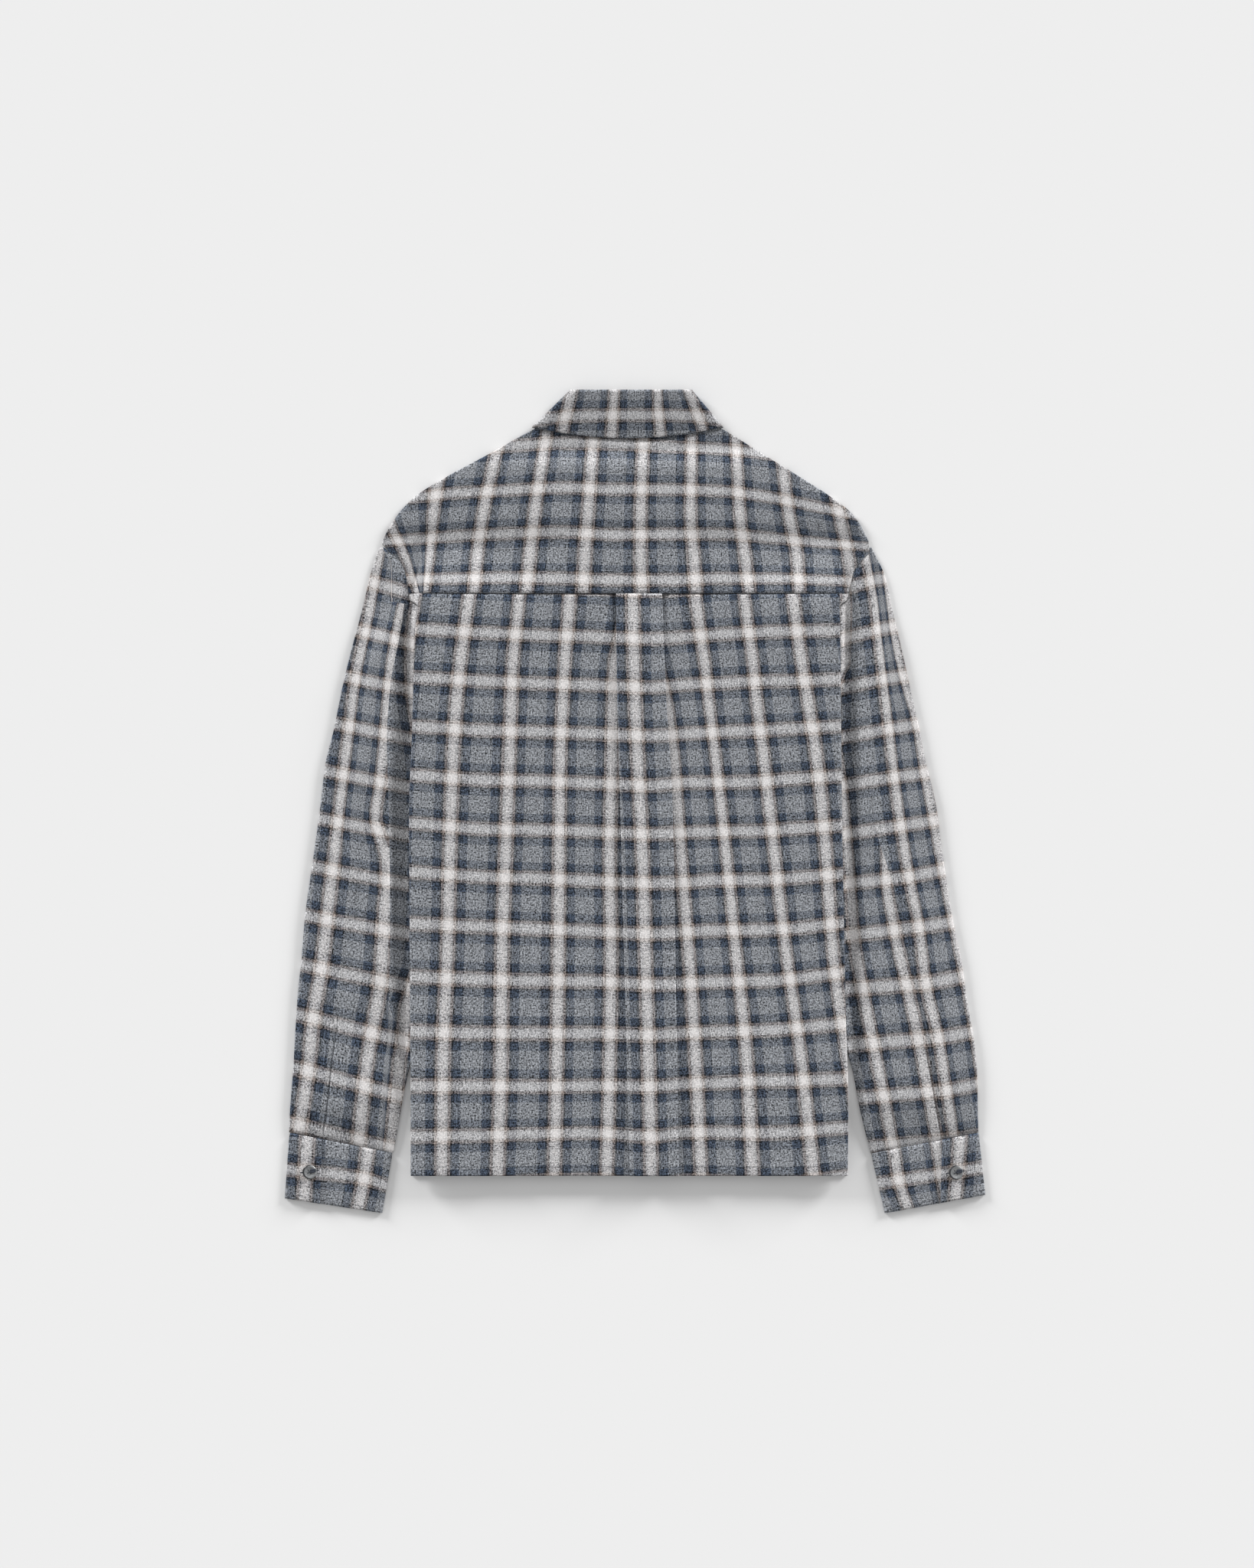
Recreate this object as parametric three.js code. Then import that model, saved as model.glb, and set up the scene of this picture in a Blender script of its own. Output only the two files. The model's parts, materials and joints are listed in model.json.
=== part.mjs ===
// A check flannel shirt, laid flat on its front with the back up.
// Millimetres, +Z up, the collar towards +Y, the wearer's left towards -X.
// Each cut piece is a thin wall. A wall is a grid of points on the cloth's middle surface,
// a row of points across the garment at each height, moved out by half the cloth's thickness.
import * as THREE from 'three';

// The cloth and how it lies
const CLOTH = 1.0;
const LAYER = 1.5;
const SEAM_GAP = 0.3;
const TURN_POINTS = 3;
const FLOOR_LAYER = CLOTH / 2;
const SECOND_LAYER = FLOOR_LAYER + LAYER;
// The napped cloth springs up a little between its layers
const BODY_LOFT = 3.2;
const SLEEVE_LOFT = 2.4;
const SLEEVE_LOFT_FROM = 12;
const SLEEVE_LOFT_TO = 45;
const SLEEVE_EDGE_SOFT = 35;
const SIDE_FOLD = 2.2;

// Where the garment's main lines lie
const NECK_CENTRE = -6.5;
const NECK_HALF_WIDTH = 83.5;
const NECK_POINT_Y = 370;
const BACK_NECK_DROP = 3;
const FRONT_NECK_DROP = 81.5;
const YOKE_SEAM_Y = 204;
const HEM_Y = -365.5;
const SHOULDER_POINT_Y = 250;
const FLAP_START_Y = 188;
const UNDERARM_Y = 25;
const CUFF_SEAM_Y = -345;
const COLLAR_SHADE_Y = 352;
const COLLAR_CLEAR_Y = 326;
const SIDE_RISE_START_Y = 262;
const NECK_BOTTOM_Y = 288;

// Reaches from the centre line or the neck at which the cloth begins and ends a rise
const COLLAR_LIFT_FROM = 192;
const COLLAR_LIFT_TO = 140;
const RIDGE_FROM = 92;
const RIDGE_TO = 46;
const SIDE_RISE_FROM = 88;
const SIDE_RISE_TO = 132;
const TUCK_FOOT = 15;
const TUCK_LIP = 1;

// Front opening, buttons and cuffs
const OVERLAP = 18;
const LIFT_INSIDE = 24;
const LIFT_OUTSIDE = 44;
const BUTTON_RADIUS = 7;
const BUTTON_THICK = 2;
const BUTTON_LIFT = BUTTON_THICK + SEAM_GAP;
const BUTTON_TOP_Y = 245;
const BUTTON_PITCH = 85;
const FRONT_BUTTONS = 7;
const COLLAR_BUTTON_Y = 303;
const CUFF_CLOTH = 1.3;
const CUFF_LAYER = 1.8;

// A short table with named columns, a row for each height
function table(columns, rows) {
  return rows.map((row) => Object.fromEntries(columns.map((name, i) => [name, row[i]])));
}

// The outer edge of the shoulders and sleeves, from the neck to the cuffs
const OUTLINE = table(['y', 'left', 'right'], [
  [370, -90, 77],
  [364, -100, 87],
  [359, -110, 95.5],
  [341, -142, 124],
  [317, -186.5, 163],
  [298, -216.5, 192.5],
  [279.5, -233.5, 215],
  [260.5, -245, 226],
  [242, -253, 235],
  [223, -259, 244],
  [204.5, -263.5, 248.5],
  [185.5, -268, 252.5],
  [148, -278, 261.5],
  [110.5, -287, 269.5],
  [73, -294.5, 278],
  [35.5, -303.5, 285.5],
  [-2, -308, 294.5],
  [-39.5, -313, 299.5],
  [-114.5, -323.5, 311],
  [-152, -326.5, 319],
  [-189.5, -330.5, 324.5],
  [-264.5, -335, 335],
  [-302, -338, 335.5],
  [-330, -339, 336.5],
]);

// The folded edges of the body, where each side is tucked under
const BODY_EDGE = table(['y', 'left', 'right'], [
  [258, -209, 199],
  [195, -212, 200],
  [168, -215, 200.5],
  [128.5, -216.5, 201],
  [74.5, -218, 201.5],
  [-14.5, -221, 202.5],
  [-204, -220, 206],
  [-294, -219.5, 208.5],
  [-366, -219.5, 208],
]);

// The armhole seam from the shoulder point, round the body's edge and in to the underarm,
// then the side seam inside the tuck
const ARMHOLE = table(['y', 'left', 'right'], [
  [252, -247, 228],
  [246, -242.5, 230],
  [237, -231, 222.5],
  [226, -225.5, 214.5],
  [211, -223, 211],
  [197, -220.5, 207.5],
  [188, -209.5, 197.5],
  [160, -207, 193],
  [110, -200, 186],
  [60, -186, 172],
  [35, -165, 151],
  [25, -150, 136],
  [-366, -150, 138],
]);

// The inner edge of each sleeve, below the underarm
const SLEEVE_INNER = table(['y', 'left', 'right'], [
  [25, -150, 136],
  [-100, -178, 168],
  [-200, -206, 194],
  [-263, -222, 213],
  [-300, -229, 220],
  [-345, -237, 231],
]);

// How far the yoke turns over the shoulder to the front
const YOKE_RETURN = table(['y', 'width'], [
  [370, 50],
  [300, 34],
  [270, 16],
  [258, 5],
  [252, 1],
]);

// The box pleat down the centre of the back: its two folded edges and the cloth under each
const PLEAT = table(['y', 'left', 'right', 'leftDepth', 'rightDepth'], [
  [204, -18.8, 26.6, 22, 22],
  [110, -17.6, 30, 20, 19],
  [0, -14.6, 36.4, 17, 16.5],
  [-65, -13, 38, 14, 13.5],
  [-220, -9, 40.6, 10.5, 9],
  [-366, -5, 43, 8, 6],
]);

// The deep fold down the left sleeve beside the body: its edge and the cloth tucked behind it
const SLEEVE_FOLD = table(['y', 'edge', 'depth'], [
  [197, -226, 0],
  [188, -226.5, 0],
  [160, -231, 16],
  [110, -240, 21],
  [60, -243, 22],
  [25, -242, 22],
  [-30, -240.5, 21],
  [-85, -240, 18],
  [-140, -240, 12],
  [-170, -241, 6],
  [-195, -242, 0],
]);

// The rows across a sleeve: the height of each at the outer edge, and how far it tilts down inwards
const SLEEVE_ROWS = table(['y', 'tilt', 'leftFold'], [
  [249, 0, 'none'],
  [246, 0, 'none'],
  [237, 0, 'none'],
  [226, 0, 'none'],
  [211, 0, 'none'],
  [197, 0, 'none'],
  [188, 0, 'ridge'],
  [160, 0, 'deep'],
  [110, 0, 'deep'],
  [60, 0, 'deep'],
  [25, 0, 'deep'],
  [-30, 0.05, 'deep'],
  [-85, 0.1, 'deep'],
  [-140, 0.14, 'deep'],
  [-170, 0.16, 'ridge'],
  [-215, 0.18, 'none'],
  [-243, 0.19, 'none'],
  [-270, 0.2, 'none'],
  [-323.2, 0.198, 'none'],
]);

const clamp = (value) => Math.min(1, Math.max(0, value));
const mix = (a, b, t) => a + (b - a) * t;
const spread = (count) => Array.from({ length: count }, (_, i) => (count > 1 ? i / (count - 1) : 0));
// 0 at the first value and 1 at the second, whichever is larger
const ramp = (value, from, to) => clamp((value - from) / (to - from));

// The value of a column at a height, on straight lines between the table's rows
function at(rows, name, y) {
  if (y >= rows[0].y) return rows[0][name];
  for (let i = 1; i < rows.length; i += 1) {
    if (y >= rows[i].y) {
      const part = (rows[i - 1].y - y) / (rows[i - 1].y - rows[i].y);
      return mix(rows[i - 1][name], rows[i][name], part);
    }
  }
  return rows[rows.length - 1][name];
}

const sideOf = (x) => (x < NECK_CENTRE ? 'left' : 'right');
const outwards = (side) => (side === 'left' ? -1 : 1);

// How far a sleeve has risen into the tuck of the body, from 0 clear of it to 1 inside
function inTuck(side, x, y) {
  const edge = Math.abs(at(BODY_EDGE, side, y));
  return ramp(Math.abs(x), edge + TUCK_FOOT, edge + TUCK_LIP) * ramp(y, SHOULDER_POINT_Y, FLAP_START_Y);
}
const sleeveUnder = (side, x, y) => FLOOR_LAYER + 2 * LAYER * inTuck(side, x, y);

// The upper layer of a sleeve springs up along its outer part, less towards the armhole and cuff
function sleeveOver(side, x, y) {
  const edge = Math.abs(at(OUTLINE, side, y));
  const body = Math.abs(at(BODY_EDGE, side, y));
  const reach = Math.abs(x);
  const across = ramp(reach, body + SLEEVE_LOFT_FROM, body + SLEEVE_LOFT_TO)
    * (1 - 0.4 * ramp(reach, edge - SLEEVE_EDGE_SOFT, edge));
  const along = ramp(y, 225, 130) * ramp(y, CUFF_SEAM_Y, CUFF_SEAM_Y + 60);
  return sleeveUnder(side, x, y) + LAYER + SLEEVE_LOFT * across * along;
}

// The turned-down collar lies under the fronts, and lifts them round the neck
function collarLift(x, y) {
  const distance = Math.hypot(x - NECK_CENTRE, y - NECK_POINT_Y);
  return LAYER * ramp(distance, COLLAR_LIFT_FROM, COLLAR_LIFT_TO);
}

// The middle of the front cloth, which lies on the surface, over the collar and over the buttons
function frontHeight(x, y) {
  const placket = BUTTON_LIFT * ramp(Math.abs(x - NECK_CENTRE), LIFT_OUTSIDE, LIFT_INSIDE);
  return FLOOR_LAYER + Math.max(collarLift(x, y), placket);
}

// The middle of the outer layer of the yoke and back
function backHeight(x, y) {
  const side = sideOf(x);
  const edge = Math.abs(at(BODY_EDGE, side, y));
  const rise = ramp(y, SIDE_RISE_START_Y, FLAP_START_Y);
  const inner = Math.min(Math.abs(x), edge);
  const belowCollar = ramp(y, COLLAR_SHADE_Y, COLLAR_CLEAR_Y);
  const centre = (BUTTON_LIFT + LAYER) * ramp(Math.abs(x - NECK_CENTRE), RIDGE_FROM, RIDGE_TO) * belowCollar;
  const tuck = (3 * LAYER + SIDE_FOLD + SEAM_GAP) * rise * ramp(inner, SIDE_RISE_FROM, SIDE_RISE_TO);
  const loft = BODY_LOFT * belowCollar * ramp(y, SHOULDER_POINT_Y, SHOULDER_POINT_Y + 30);
  const body = SECOND_LAYER + Math.max(collarLift(x, y), centre, tuck, Math.max(loft, BODY_LOFT * rise));
  if (Math.abs(x) <= edge || y > SHOULDER_POINT_Y + 2) return body;
  const seam = Math.abs(at(ARMHOLE, side, y));
  const seamHeight = sleeveOver(side, seam, y) + SEAM_GAP * rise;
  return mix(body, seamHeight, ramp(Math.abs(x), edge, Math.max(seam, edge + 1)));
}

// Points of a run of cloth across the garment, from one place to another
function run(fromX, toX, count, y, height) {
  return spread(count).map((t) => {
    const x = mix(fromX, toX, t);
    const rowY = typeof y === 'function' ? y(x) : y;
    return { x, y: rowY, z: height(x, rowY) };
  });
}

// Points of the half circle in which the cloth turns back on itself between two layers
function turn(from, to, direction) {
  const radius = Math.abs(to.z - from.z) / 2;
  return spread(TURN_POINTS + 2).slice(1, -1).map((t) => ({
    x: mix(from.x, to.x, t) + direction * radius * Math.sin(Math.PI * t),
    y: mix(from.y, to.y, t),
    z: mix(from.z, to.z, (1 - Math.cos(Math.PI * t)) / 2),
  }));
}

// Two runs joined by a turn whose outer face touches the folded edge
function folded(first, second, direction) {
  return [...first, ...turn(first[first.length - 1], second[0], direction), ...second];
}
// Where a run ends so that the turn after it just reaches the folded edge
const turnStart = (edgeX, direction, gap = LAYER, cloth = CLOTH) => edgeX - direction * (gap + cloth) / 2;

// A closed wall from rows of middle points
function clothWall(rows, cloth = CLOTH) {
  const columns = rows[0].length;
  const faceUp = [];
  const faceDown = [];
  for (const row of rows) {
    row.forEach((point, i) => {
      const before = row[Math.max(0, i - 1)];
      const after = row[Math.min(columns - 1, i + 1)];
      const length = Math.hypot(after.x - before.x, after.z - before.z);
      const nx = (before.z - after.z) / length;
      const nz = (after.x - before.x) / length;
      faceUp.push([point.x + nx * cloth / 2, point.y, point.z + nz * cloth / 2]);
      faceDown.push([point.x - nx * cloth / 2, point.y, point.z - nz * cloth / 2]);
    });
  }
  const count = rows.length * columns;
  const up = (r, c) => r * columns + c;
  const down = (r, c) => count + up(r, c);
  const triangles = [];
  const quad = (a, b, c, d) => triangles.push(a, b, c, a, c, d);
  for (let r = 0; r < rows.length - 1; r += 1) {
    for (let c = 0; c < columns - 1; c += 1) {
      quad(up(r, c), up(r + 1, c), up(r + 1, c + 1), up(r, c + 1));
      quad(down(r, c), down(r, c + 1), down(r + 1, c + 1), down(r + 1, c));
    }
    quad(up(r, 0), down(r, 0), down(r + 1, 0), up(r + 1, 0));
    quad(up(r, columns - 1), up(r + 1, columns - 1), down(r + 1, columns - 1), down(r, columns - 1));
  }
  for (let c = 0; c < columns - 1; c += 1) {
    const last = rows.length - 1;
    quad(up(0, c), up(0, c + 1), down(0, c + 1), down(0, c));
    quad(up(last, c), down(last, c), down(last, c + 1), up(last, c + 1));
  }
  return closedGeometry([...faceUp, ...faceDown].flat(), triangles);
}

// A geometry with its faces pointing out, whichever way its rows ran
function closedGeometry(positions, triangles) {
  const corner = (i) => new THREE.Vector3().fromArray(positions, triangles[i] * 3);
  let volume = 0;
  for (let i = 0; i < triangles.length; i += 3) {
    volume += corner(i).dot(corner(i + 1).cross(corner(i + 2)));
  }
  const geometry = new THREE.BufferGeometry();
  geometry.setAttribute('position', new THREE.Float32BufferAttribute(positions, 3));
  geometry.setIndex(volume > 0 ? triangles : triangles.slice().reverse());
  geometry.computeVertexNormals();
  return geometry;
}

const flannel = () => new THREE.MeshStandardMaterial({ color: 0x767b88, roughness: 0.95, metalness: 0 });
const buttonPlastic = () => new THREE.MeshStandardMaterial({ color: 0x8b8d92, roughness: 0.35, metalness: 0 });

const shirt = new THREE.Group();
function addPiece(name, geometry, material) {
  const mesh = new THREE.Mesh(geometry, material);
  mesh.name = name;
  shirt.add(mesh);
  return mesh;
}

// The half width of the neck opening on the front, at a height
function neckline(y) {
  const part = clamp((NECK_POINT_Y - y) / FRONT_NECK_DROP);
  return NECK_HALF_WIDTH * Math.sqrt(1 - part * part);
}

// The inner end of the yoke's return, on the front over the shoulder
function yokeReturnEnd(side, y) {
  const edge = Math.abs(at(OUTLINE, side, y));
  const neck = neckline(y) - NECK_CENTRE * outwards(side) * -1;
  return outwards(side) * Math.max(neck + 0.5, edge - at(YOKE_RETURN, 'width', y));
}

// One end of a yoke row: the turn over the shoulder and the return under it, or the armhole seam
function yokeEnd(side, y, rowY) {
  const out = outwards(side);
  if (y > SHOULDER_POINT_Y + 2) {
    const edge = at(OUTLINE, side, y);
    const start = turnStart(edge, out, backHeight(edge, y) - frontHeight(edge, y));
    const end = yokeReturnEnd(side, y);
    const under = run(start, out * Math.min(Math.abs(end), Math.abs(start) - 0.5), 5, rowY, frontHeight);
    const over = [{ x: start, y: rowY(start), z: backHeight(start, y) }];
    return { start, tail: [...turn(over[0], under[0], out), ...under] };
  }
  const seam = at(ARMHOLE, side, y) - out * SEAM_GAP;
  const start = seam - out * 3;
  return { start, tail: run(start, seam, TURN_POINTS + 6, rowY, backHeight).slice(1) };
}

// The yoke, from the neck seam to its straight seam across the back
function makeYoke() {
  const heights = [370, 365, 359, 341, 317, 298, 279.5, 260.5, 254, 246, 237, 226, 211, YOKE_SEAM_Y];
  const rows = heights.map((y) => {
    const drop = BACK_NECK_DROP * ramp(y, YOKE_SEAM_Y, NECK_POINT_Y);
    const rowY = (x) => y - drop * Math.max(0, 1 - ((x - NECK_CENTRE) / NECK_HALF_WIDTH) ** 2);
    const left = yokeEnd('left', y, rowY);
    const right = yokeEnd('right', y, rowY);
    const over = run(left.start, right.start, 21, rowY, backHeight);
    return [...left.tail.reverse(), ...over, ...right.tail];
  });
  addPiece('yoke', clothWall(rows), flannel());
}

// One side of a back or front row beyond its main run: the turn at the body's edge and the
// return to the side seam, or the plain edge at the armhole
function tuckedEnd(side, y, height, returnHeight) {
  const out = outwards(side);
  if (y > FLAP_START_Y) {
    const seam = at(ARMHOLE, side, y) - out * SEAM_GAP;
    const start = seam - out * 3;
    return { start, tail: run(start, seam, TURN_POINTS + 6, y, height).slice(1) };
  }
  const edge = at(BODY_EDGE, side, y);
  const start = turnStart(edge, out, Math.abs(height(edge, y) - returnHeight(edge, y)));
  const end = at(ARMHOLE, side, y);
  const reach = out * Math.min(Math.abs(end), Math.abs(start) - 0.5);
  const under = run(start, reach, 5, y, returnHeight);
  const over = { x: start, y, z: height(start, y) };
  return { start, tail: [...turn(over, under[0], out), ...under] };
}

// The back panel, with its box pleat folded into it and its sides tucked under
function makeBack() {
  const heights = [YOKE_SEAM_Y - SEAM_GAP, 197, FLAP_START_Y, 160, 110, 60, 25, -65, -150, -235, -300, HEM_Y];
  const backReturn = (x, y) => backHeight(x, y) - SIDE_FOLD;
  const rows = heights.map((y) => {
    const left = tuckedEnd('left', y, backHeight, backReturn);
    const right = tuckedEnd('right', y, backHeight, backReturn);
    const fold = { left: at(PLEAT, 'left', y), right: at(PLEAT, 'right', y) };
    const inner = {
      left: fold.left + at(PLEAT, 'leftDepth', y),
      right: fold.right - at(PLEAT, 'rightDepth', y),
    };
    const base = backHeight(NECK_CENTRE, y);
    const middle = () => base + LAYER;
    const top = () => base + 2 * LAYER;
    const leftBase = run(left.start, turnStart(inner.left, 1), 10, y, backHeight);
    const leftMiddle = run(turnStart(inner.left, 1), turnStart(fold.left, -1), 2, y, middle);
    const panel = run(turnStart(fold.left, -1), turnStart(fold.right, 1), 4, y, top);
    const rightMiddle = run(turnStart(fold.right, 1), turnStart(inner.right, -1), 2, y, middle);
    const rightBase = run(turnStart(inner.right, -1), right.start, 10, y, backHeight);
    const centre = folded(folded(leftMiddle, panel, -1), rightMiddle, 1);
    return [...left.tail.reverse(), ...folded(folded(leftBase, centre, 1), rightBase, -1), ...right.tail];
  });
  addPiece('back_panel', clothWall(rows), flannel());
}

// A front, from the shoulder to the hem. The left front laps over the right one, so face down
// it is the lower of the two.
function makeFront(side) {
  const out = outwards(side);
  const heights = [341, 329, 317, 298, 291, 286, 279.5, 260.5, 254, 237, 226, 211, 197, FLAP_START_Y, 160, 110,
    60, 25, -100, -230, HEM_Y];
  const lap = NECK_CENTRE - out * OVERLAP;
  const lifted = (x, y) => {
    const over = side === 'right' ? LAYER * ramp(x, NECK_CENTRE + LIFT_OUTSIDE, NECK_CENTRE + LIFT_INSIDE) : 0;
    return frontHeight(x, y) + over;
  };
  const frontReturn = (x, y) => frontHeight(x, y) + LAYER;
  const rows = heights.map((y) => {
    const neck = NECK_CENTRE + out * (neckline(y) + 1);
    const inner = y > NECK_BOTTOM_Y ? neck : lap;
    let outer = tuckedEnd(side, y, lifted, frontReturn);
    if (y > SHOULDER_POINT_Y) {
      const seam = yokeReturnEnd(side, y) - out * 3 * SEAM_GAP;
      const start = seam - out * 3;
      outer = { start, tail: run(start, seam, TURN_POINTS + 6, y, lifted).slice(1) };
    }
    const bends = [-OVERLAP, 0, LIFT_INSIDE, LIFT_OUTSIDE, SIDE_RISE_FROM, SIDE_RISE_TO, 162, 190]
      .map((reach) => NECK_CENTRE + out * reach);
    const stations = stationsIn(bends.reverse(), outer.start, inner, out).reverse();
    const points = [inner, ...stations.slice(1), outer.start].map((x) => ({ x, y, z: lifted(x, y) }));
    return [...points, ...outer.tail];
  });
  addPiece(`front_${side}`, clothWall(rows), flannel());
}

// Places across a sleeve row on the way in to its end, each at least a step from the next
function stationsIn(wanted, start, end, out) {
  const step = Math.min(0.4, Math.abs(start - end) / (wanted.length + 3));
  return wanted.map((x, i) => {
    const nearest = out * end + step * (wanted.length - 1 - i);
    const farthest = out * start - step * (i + 1);
    return out * Math.min(farthest, Math.max(nearest, out * x));
  });
}

// The places where a sleeve's layers bend as they rise into the body's tuck
function tuckStations(side, start, inner, rowY) {
  const out = outwards(side);
  const bodyEdge = at(BODY_EDGE, side, rowY(inner));
  const foot = bodyEdge + out * TUCK_FOOT;
  const lip = bodyEdge + out * TUCK_LIP;
  return stationsIn([foot, mix(foot, lip, 0.5), lip, mix(lip, inner, 0.5), inner], start, inner, out);
}

// A sleeve, a flattened tube closed by its underarm seam. Its upper part lies in the body's tuck.
function makeSleeve(side) {
  const out = outwards(side);
  const rows = SLEEVE_ROWS.map(({ y, tilt, leftFold }) => {
    const outer = at(OUTLINE, side, y);
    const rowY = (x) => y - tilt * Math.abs(outer - x);
    let inner = at(ARMHOLE, side, y) + out * (y > FLAP_START_Y ? SEAM_GAP : 0);
    for (let step = 0; y < UNDERARM_Y && step < 4; step += 1) inner = at(SLEEVE_INNER, side, rowY(inner));
    const start = turnStart(outer, out, sleeveOver(side, outer, y) - sleeveUnder(side, outer, y));
    const near = tuckStations(side, start, inner, rowY);
    const place = (height) => (x) => ({ x, y: rowY(x), z: height(side, x, rowY(x)) });
    const far = spread(5).slice(0, 4).map((t) => mix(start, near[0], t));
    const lower = [...far, ...near].map(place(sleeveUnder)).reverse();
    if (side === 'right') return folded(lower, [...far, ...near].map(place(sleeveOver)), out);
    return folded(lower, leftSleeveTop(y, leftFold, start, inner, near, place(sleeveOver)), out);
  });
  addPiece(`sleeve_${side}`, clothWall(rows), flannel());
}

// The upper layer of the left sleeve, with the deep fold that tucks cloth back beside the body
function leftSleeveTop(y, fold, start, inner, near, place) {
  const edge = at(SLEEVE_FOLD, 'edge', y);
  if (fold === 'none') {
    const width = inner - start;
    const flatEnd = start + Math.min(0.75 * width, Math.max(0.35 * width, edge - start));
    const flatStart = flatEnd - Math.min(6, 0.15 * width);
    const outerPart = spread(7).slice(0, 6).map((t) => mix(start, flatStart, t));
    const flatPart = spread(2 * TURN_POINTS + 4).map((t) => mix(flatStart, flatEnd, t));
    const rest = stationsIn(near.slice(1), flatEnd, inner, -1);
    return [...outerPart, ...flatPart, ...rest].map(place);
  }
  const lifted = (x, lift) => {
    const point = place(x);
    return { ...point, z: point.z + lift };
  };
  const topEnd = turnStart(edge, 1);
  const baseStart = topEnd - (fold === 'deep' ? at(SLEEVE_FOLD, 'depth', y) : 0) - 0.1;
  const crest = baseStart - 3;
  const rampStart = crest - 16;
  const top = [0, 0.35, 0.7, 1].map((t) => mix(start, rampStart, t));
  const topRun = [...top, mix(rampStart, crest, 0.5), crest, topEnd]
    .map((x) => lifted(x, 2 * LAYER * ramp(x, rampStart, crest)));
  const middle = [lifted(topEnd, LAYER), lifted(baseStart, LAYER)];
  const rest = [baseStart, ...stationsIn(near.slice(1), baseStart, inner, -1)].map((x) => lifted(x, 0));
  return folded(folded(topRun, middle, 1), rest, -1);
}

// The collar's edges: its folded top, the leaf's free edge and the neck seam of the stand
const COLLAR = {
  topY: 402.75,
  topLeft: -61,
  topRight: 53,
  sideY: 366.5,
  sideLeft: -101,
  sideRight: 86.5,
  backDrop: 10.5,
  frontDrop: 84,
  pointX: 40,
  pointY: 256,
  leafGap: 6,
};

// A collar ring: a back run and two front runs round the neck, joined by turns at the sides
function collarRing(settings) {
  const { top, bottom, frontEnd, frontHeightAt, backHeightAt, backDrop, turnRadius, rowCount } = settings;
  return spread(rowCount).map((v) => {
    const sideY = mix(top.y, bottom.y, v);
    const edge = { left: mix(top.left, bottom.left, v), right: mix(top.right, bottom.right, v) };
    const front = (side) => {
      const out = outwards(side);
      return spread(6).map((t) => {
        const bend = (t * Math.PI) / 2;
        const end = frontEnd(side, v);
        const from = edge[side] - out * (turnRadius + CLOTH / 2);
        const x = mix(end.x, from, Math.cos(bend));
        const y = mix(sideY, end.y, Math.sin(bend));
        return { x, y, z: frontHeightAt(x, y) };
      });
    };
    const left = front('left');
    const right = front('right');
    const back = spread(9).map((t) => {
      const x = mix(left[0].x, right[0].x, t);
      const y = sideY - backDrop * v * (1 - (2 * t - 1) ** 2);
      return { x, y, z: backHeightAt };
    });
    return folded(folded(left.reverse(), back, -1), right, 1);
  });
}

// The collar leaf, turned down over the yoke at the back and under the fronts with its points
function makeCollarLeaf() {
  const rows = collarRing({
    top: { y: COLLAR.topY, left: COLLAR.topLeft, right: COLLAR.topRight },
    bottom: { y: COLLAR.sideY, left: COLLAR.sideLeft, right: COLLAR.sideRight },
    frontEnd: (side, v) => ({
      x: NECK_CENTRE + outwards(side) * mix(COLLAR.leafGap, COLLAR.pointX, v),
      y: mix(COLLAR.topY - COLLAR.frontDrop, COLLAR.pointY, v),
    }),
    frontHeightAt: () => FLOOR_LAYER,
    backHeightAt: FLOOR_LAYER + 3 * LAYER,
    backDrop: COLLAR.backDrop,
    turnRadius: 1.5 * LAYER,
    rowCount: 5,
  });
  addPiece('collar_leaf', clothWall(rows), flannel());
}

// The collar stand, a band from the neck seam up to the collar's fold, inside the leaf
function makeCollarStand() {
  const inset = 5;
  const rows = collarRing({
    top: { y: COLLAR.topY - 1, left: COLLAR.topLeft + inset, right: COLLAR.topRight - inset },
    bottom: {
      y: NECK_POINT_Y + 0.5,
      left: NECK_CENTRE - NECK_HALF_WIDTH + 1,
      right: NECK_CENTRE + NECK_HALF_WIDTH - 1,
    },
    frontEnd: (side, v) => ({
      x: NECK_CENTRE + outwards(side) * 0.3,
      y: mix(COLLAR.topY - FRONT_NECK_DROP, NECK_POINT_Y - FRONT_NECK_DROP + 1, v),
    }),
    frontHeightAt: frontHeight,
    backHeightAt: SECOND_LAYER + LAYER,
    backDrop: BACK_NECK_DROP,
    turnRadius: LAYER / 2,
    rowCount: 4,
  });
  addPiece('collar_stand', clothWall(rows), flannel());
}

// Each cuff: its outer edge, inner edge, lap edge and the end under the lap, at top and bottom
const CUFF = {
  left: {
    outer: [[-338.5, -323.5], [-343, -388]],
    inner: [[-237.5, -343.5], [-247.5, -402.5]],
    lap: [-306.5, -308.5],
    under: [-326, -328],
    button: [-318.5, -362],
  },
  right: {
    outer: [[336.5, -323.5], [343, -384.5]],
    inner: [[231, -344.2], [244.5, -402.75]],
    lap: [300.5, 299],
    under: [321, 320],
    button: [314, -362.5],
  },
};

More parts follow.
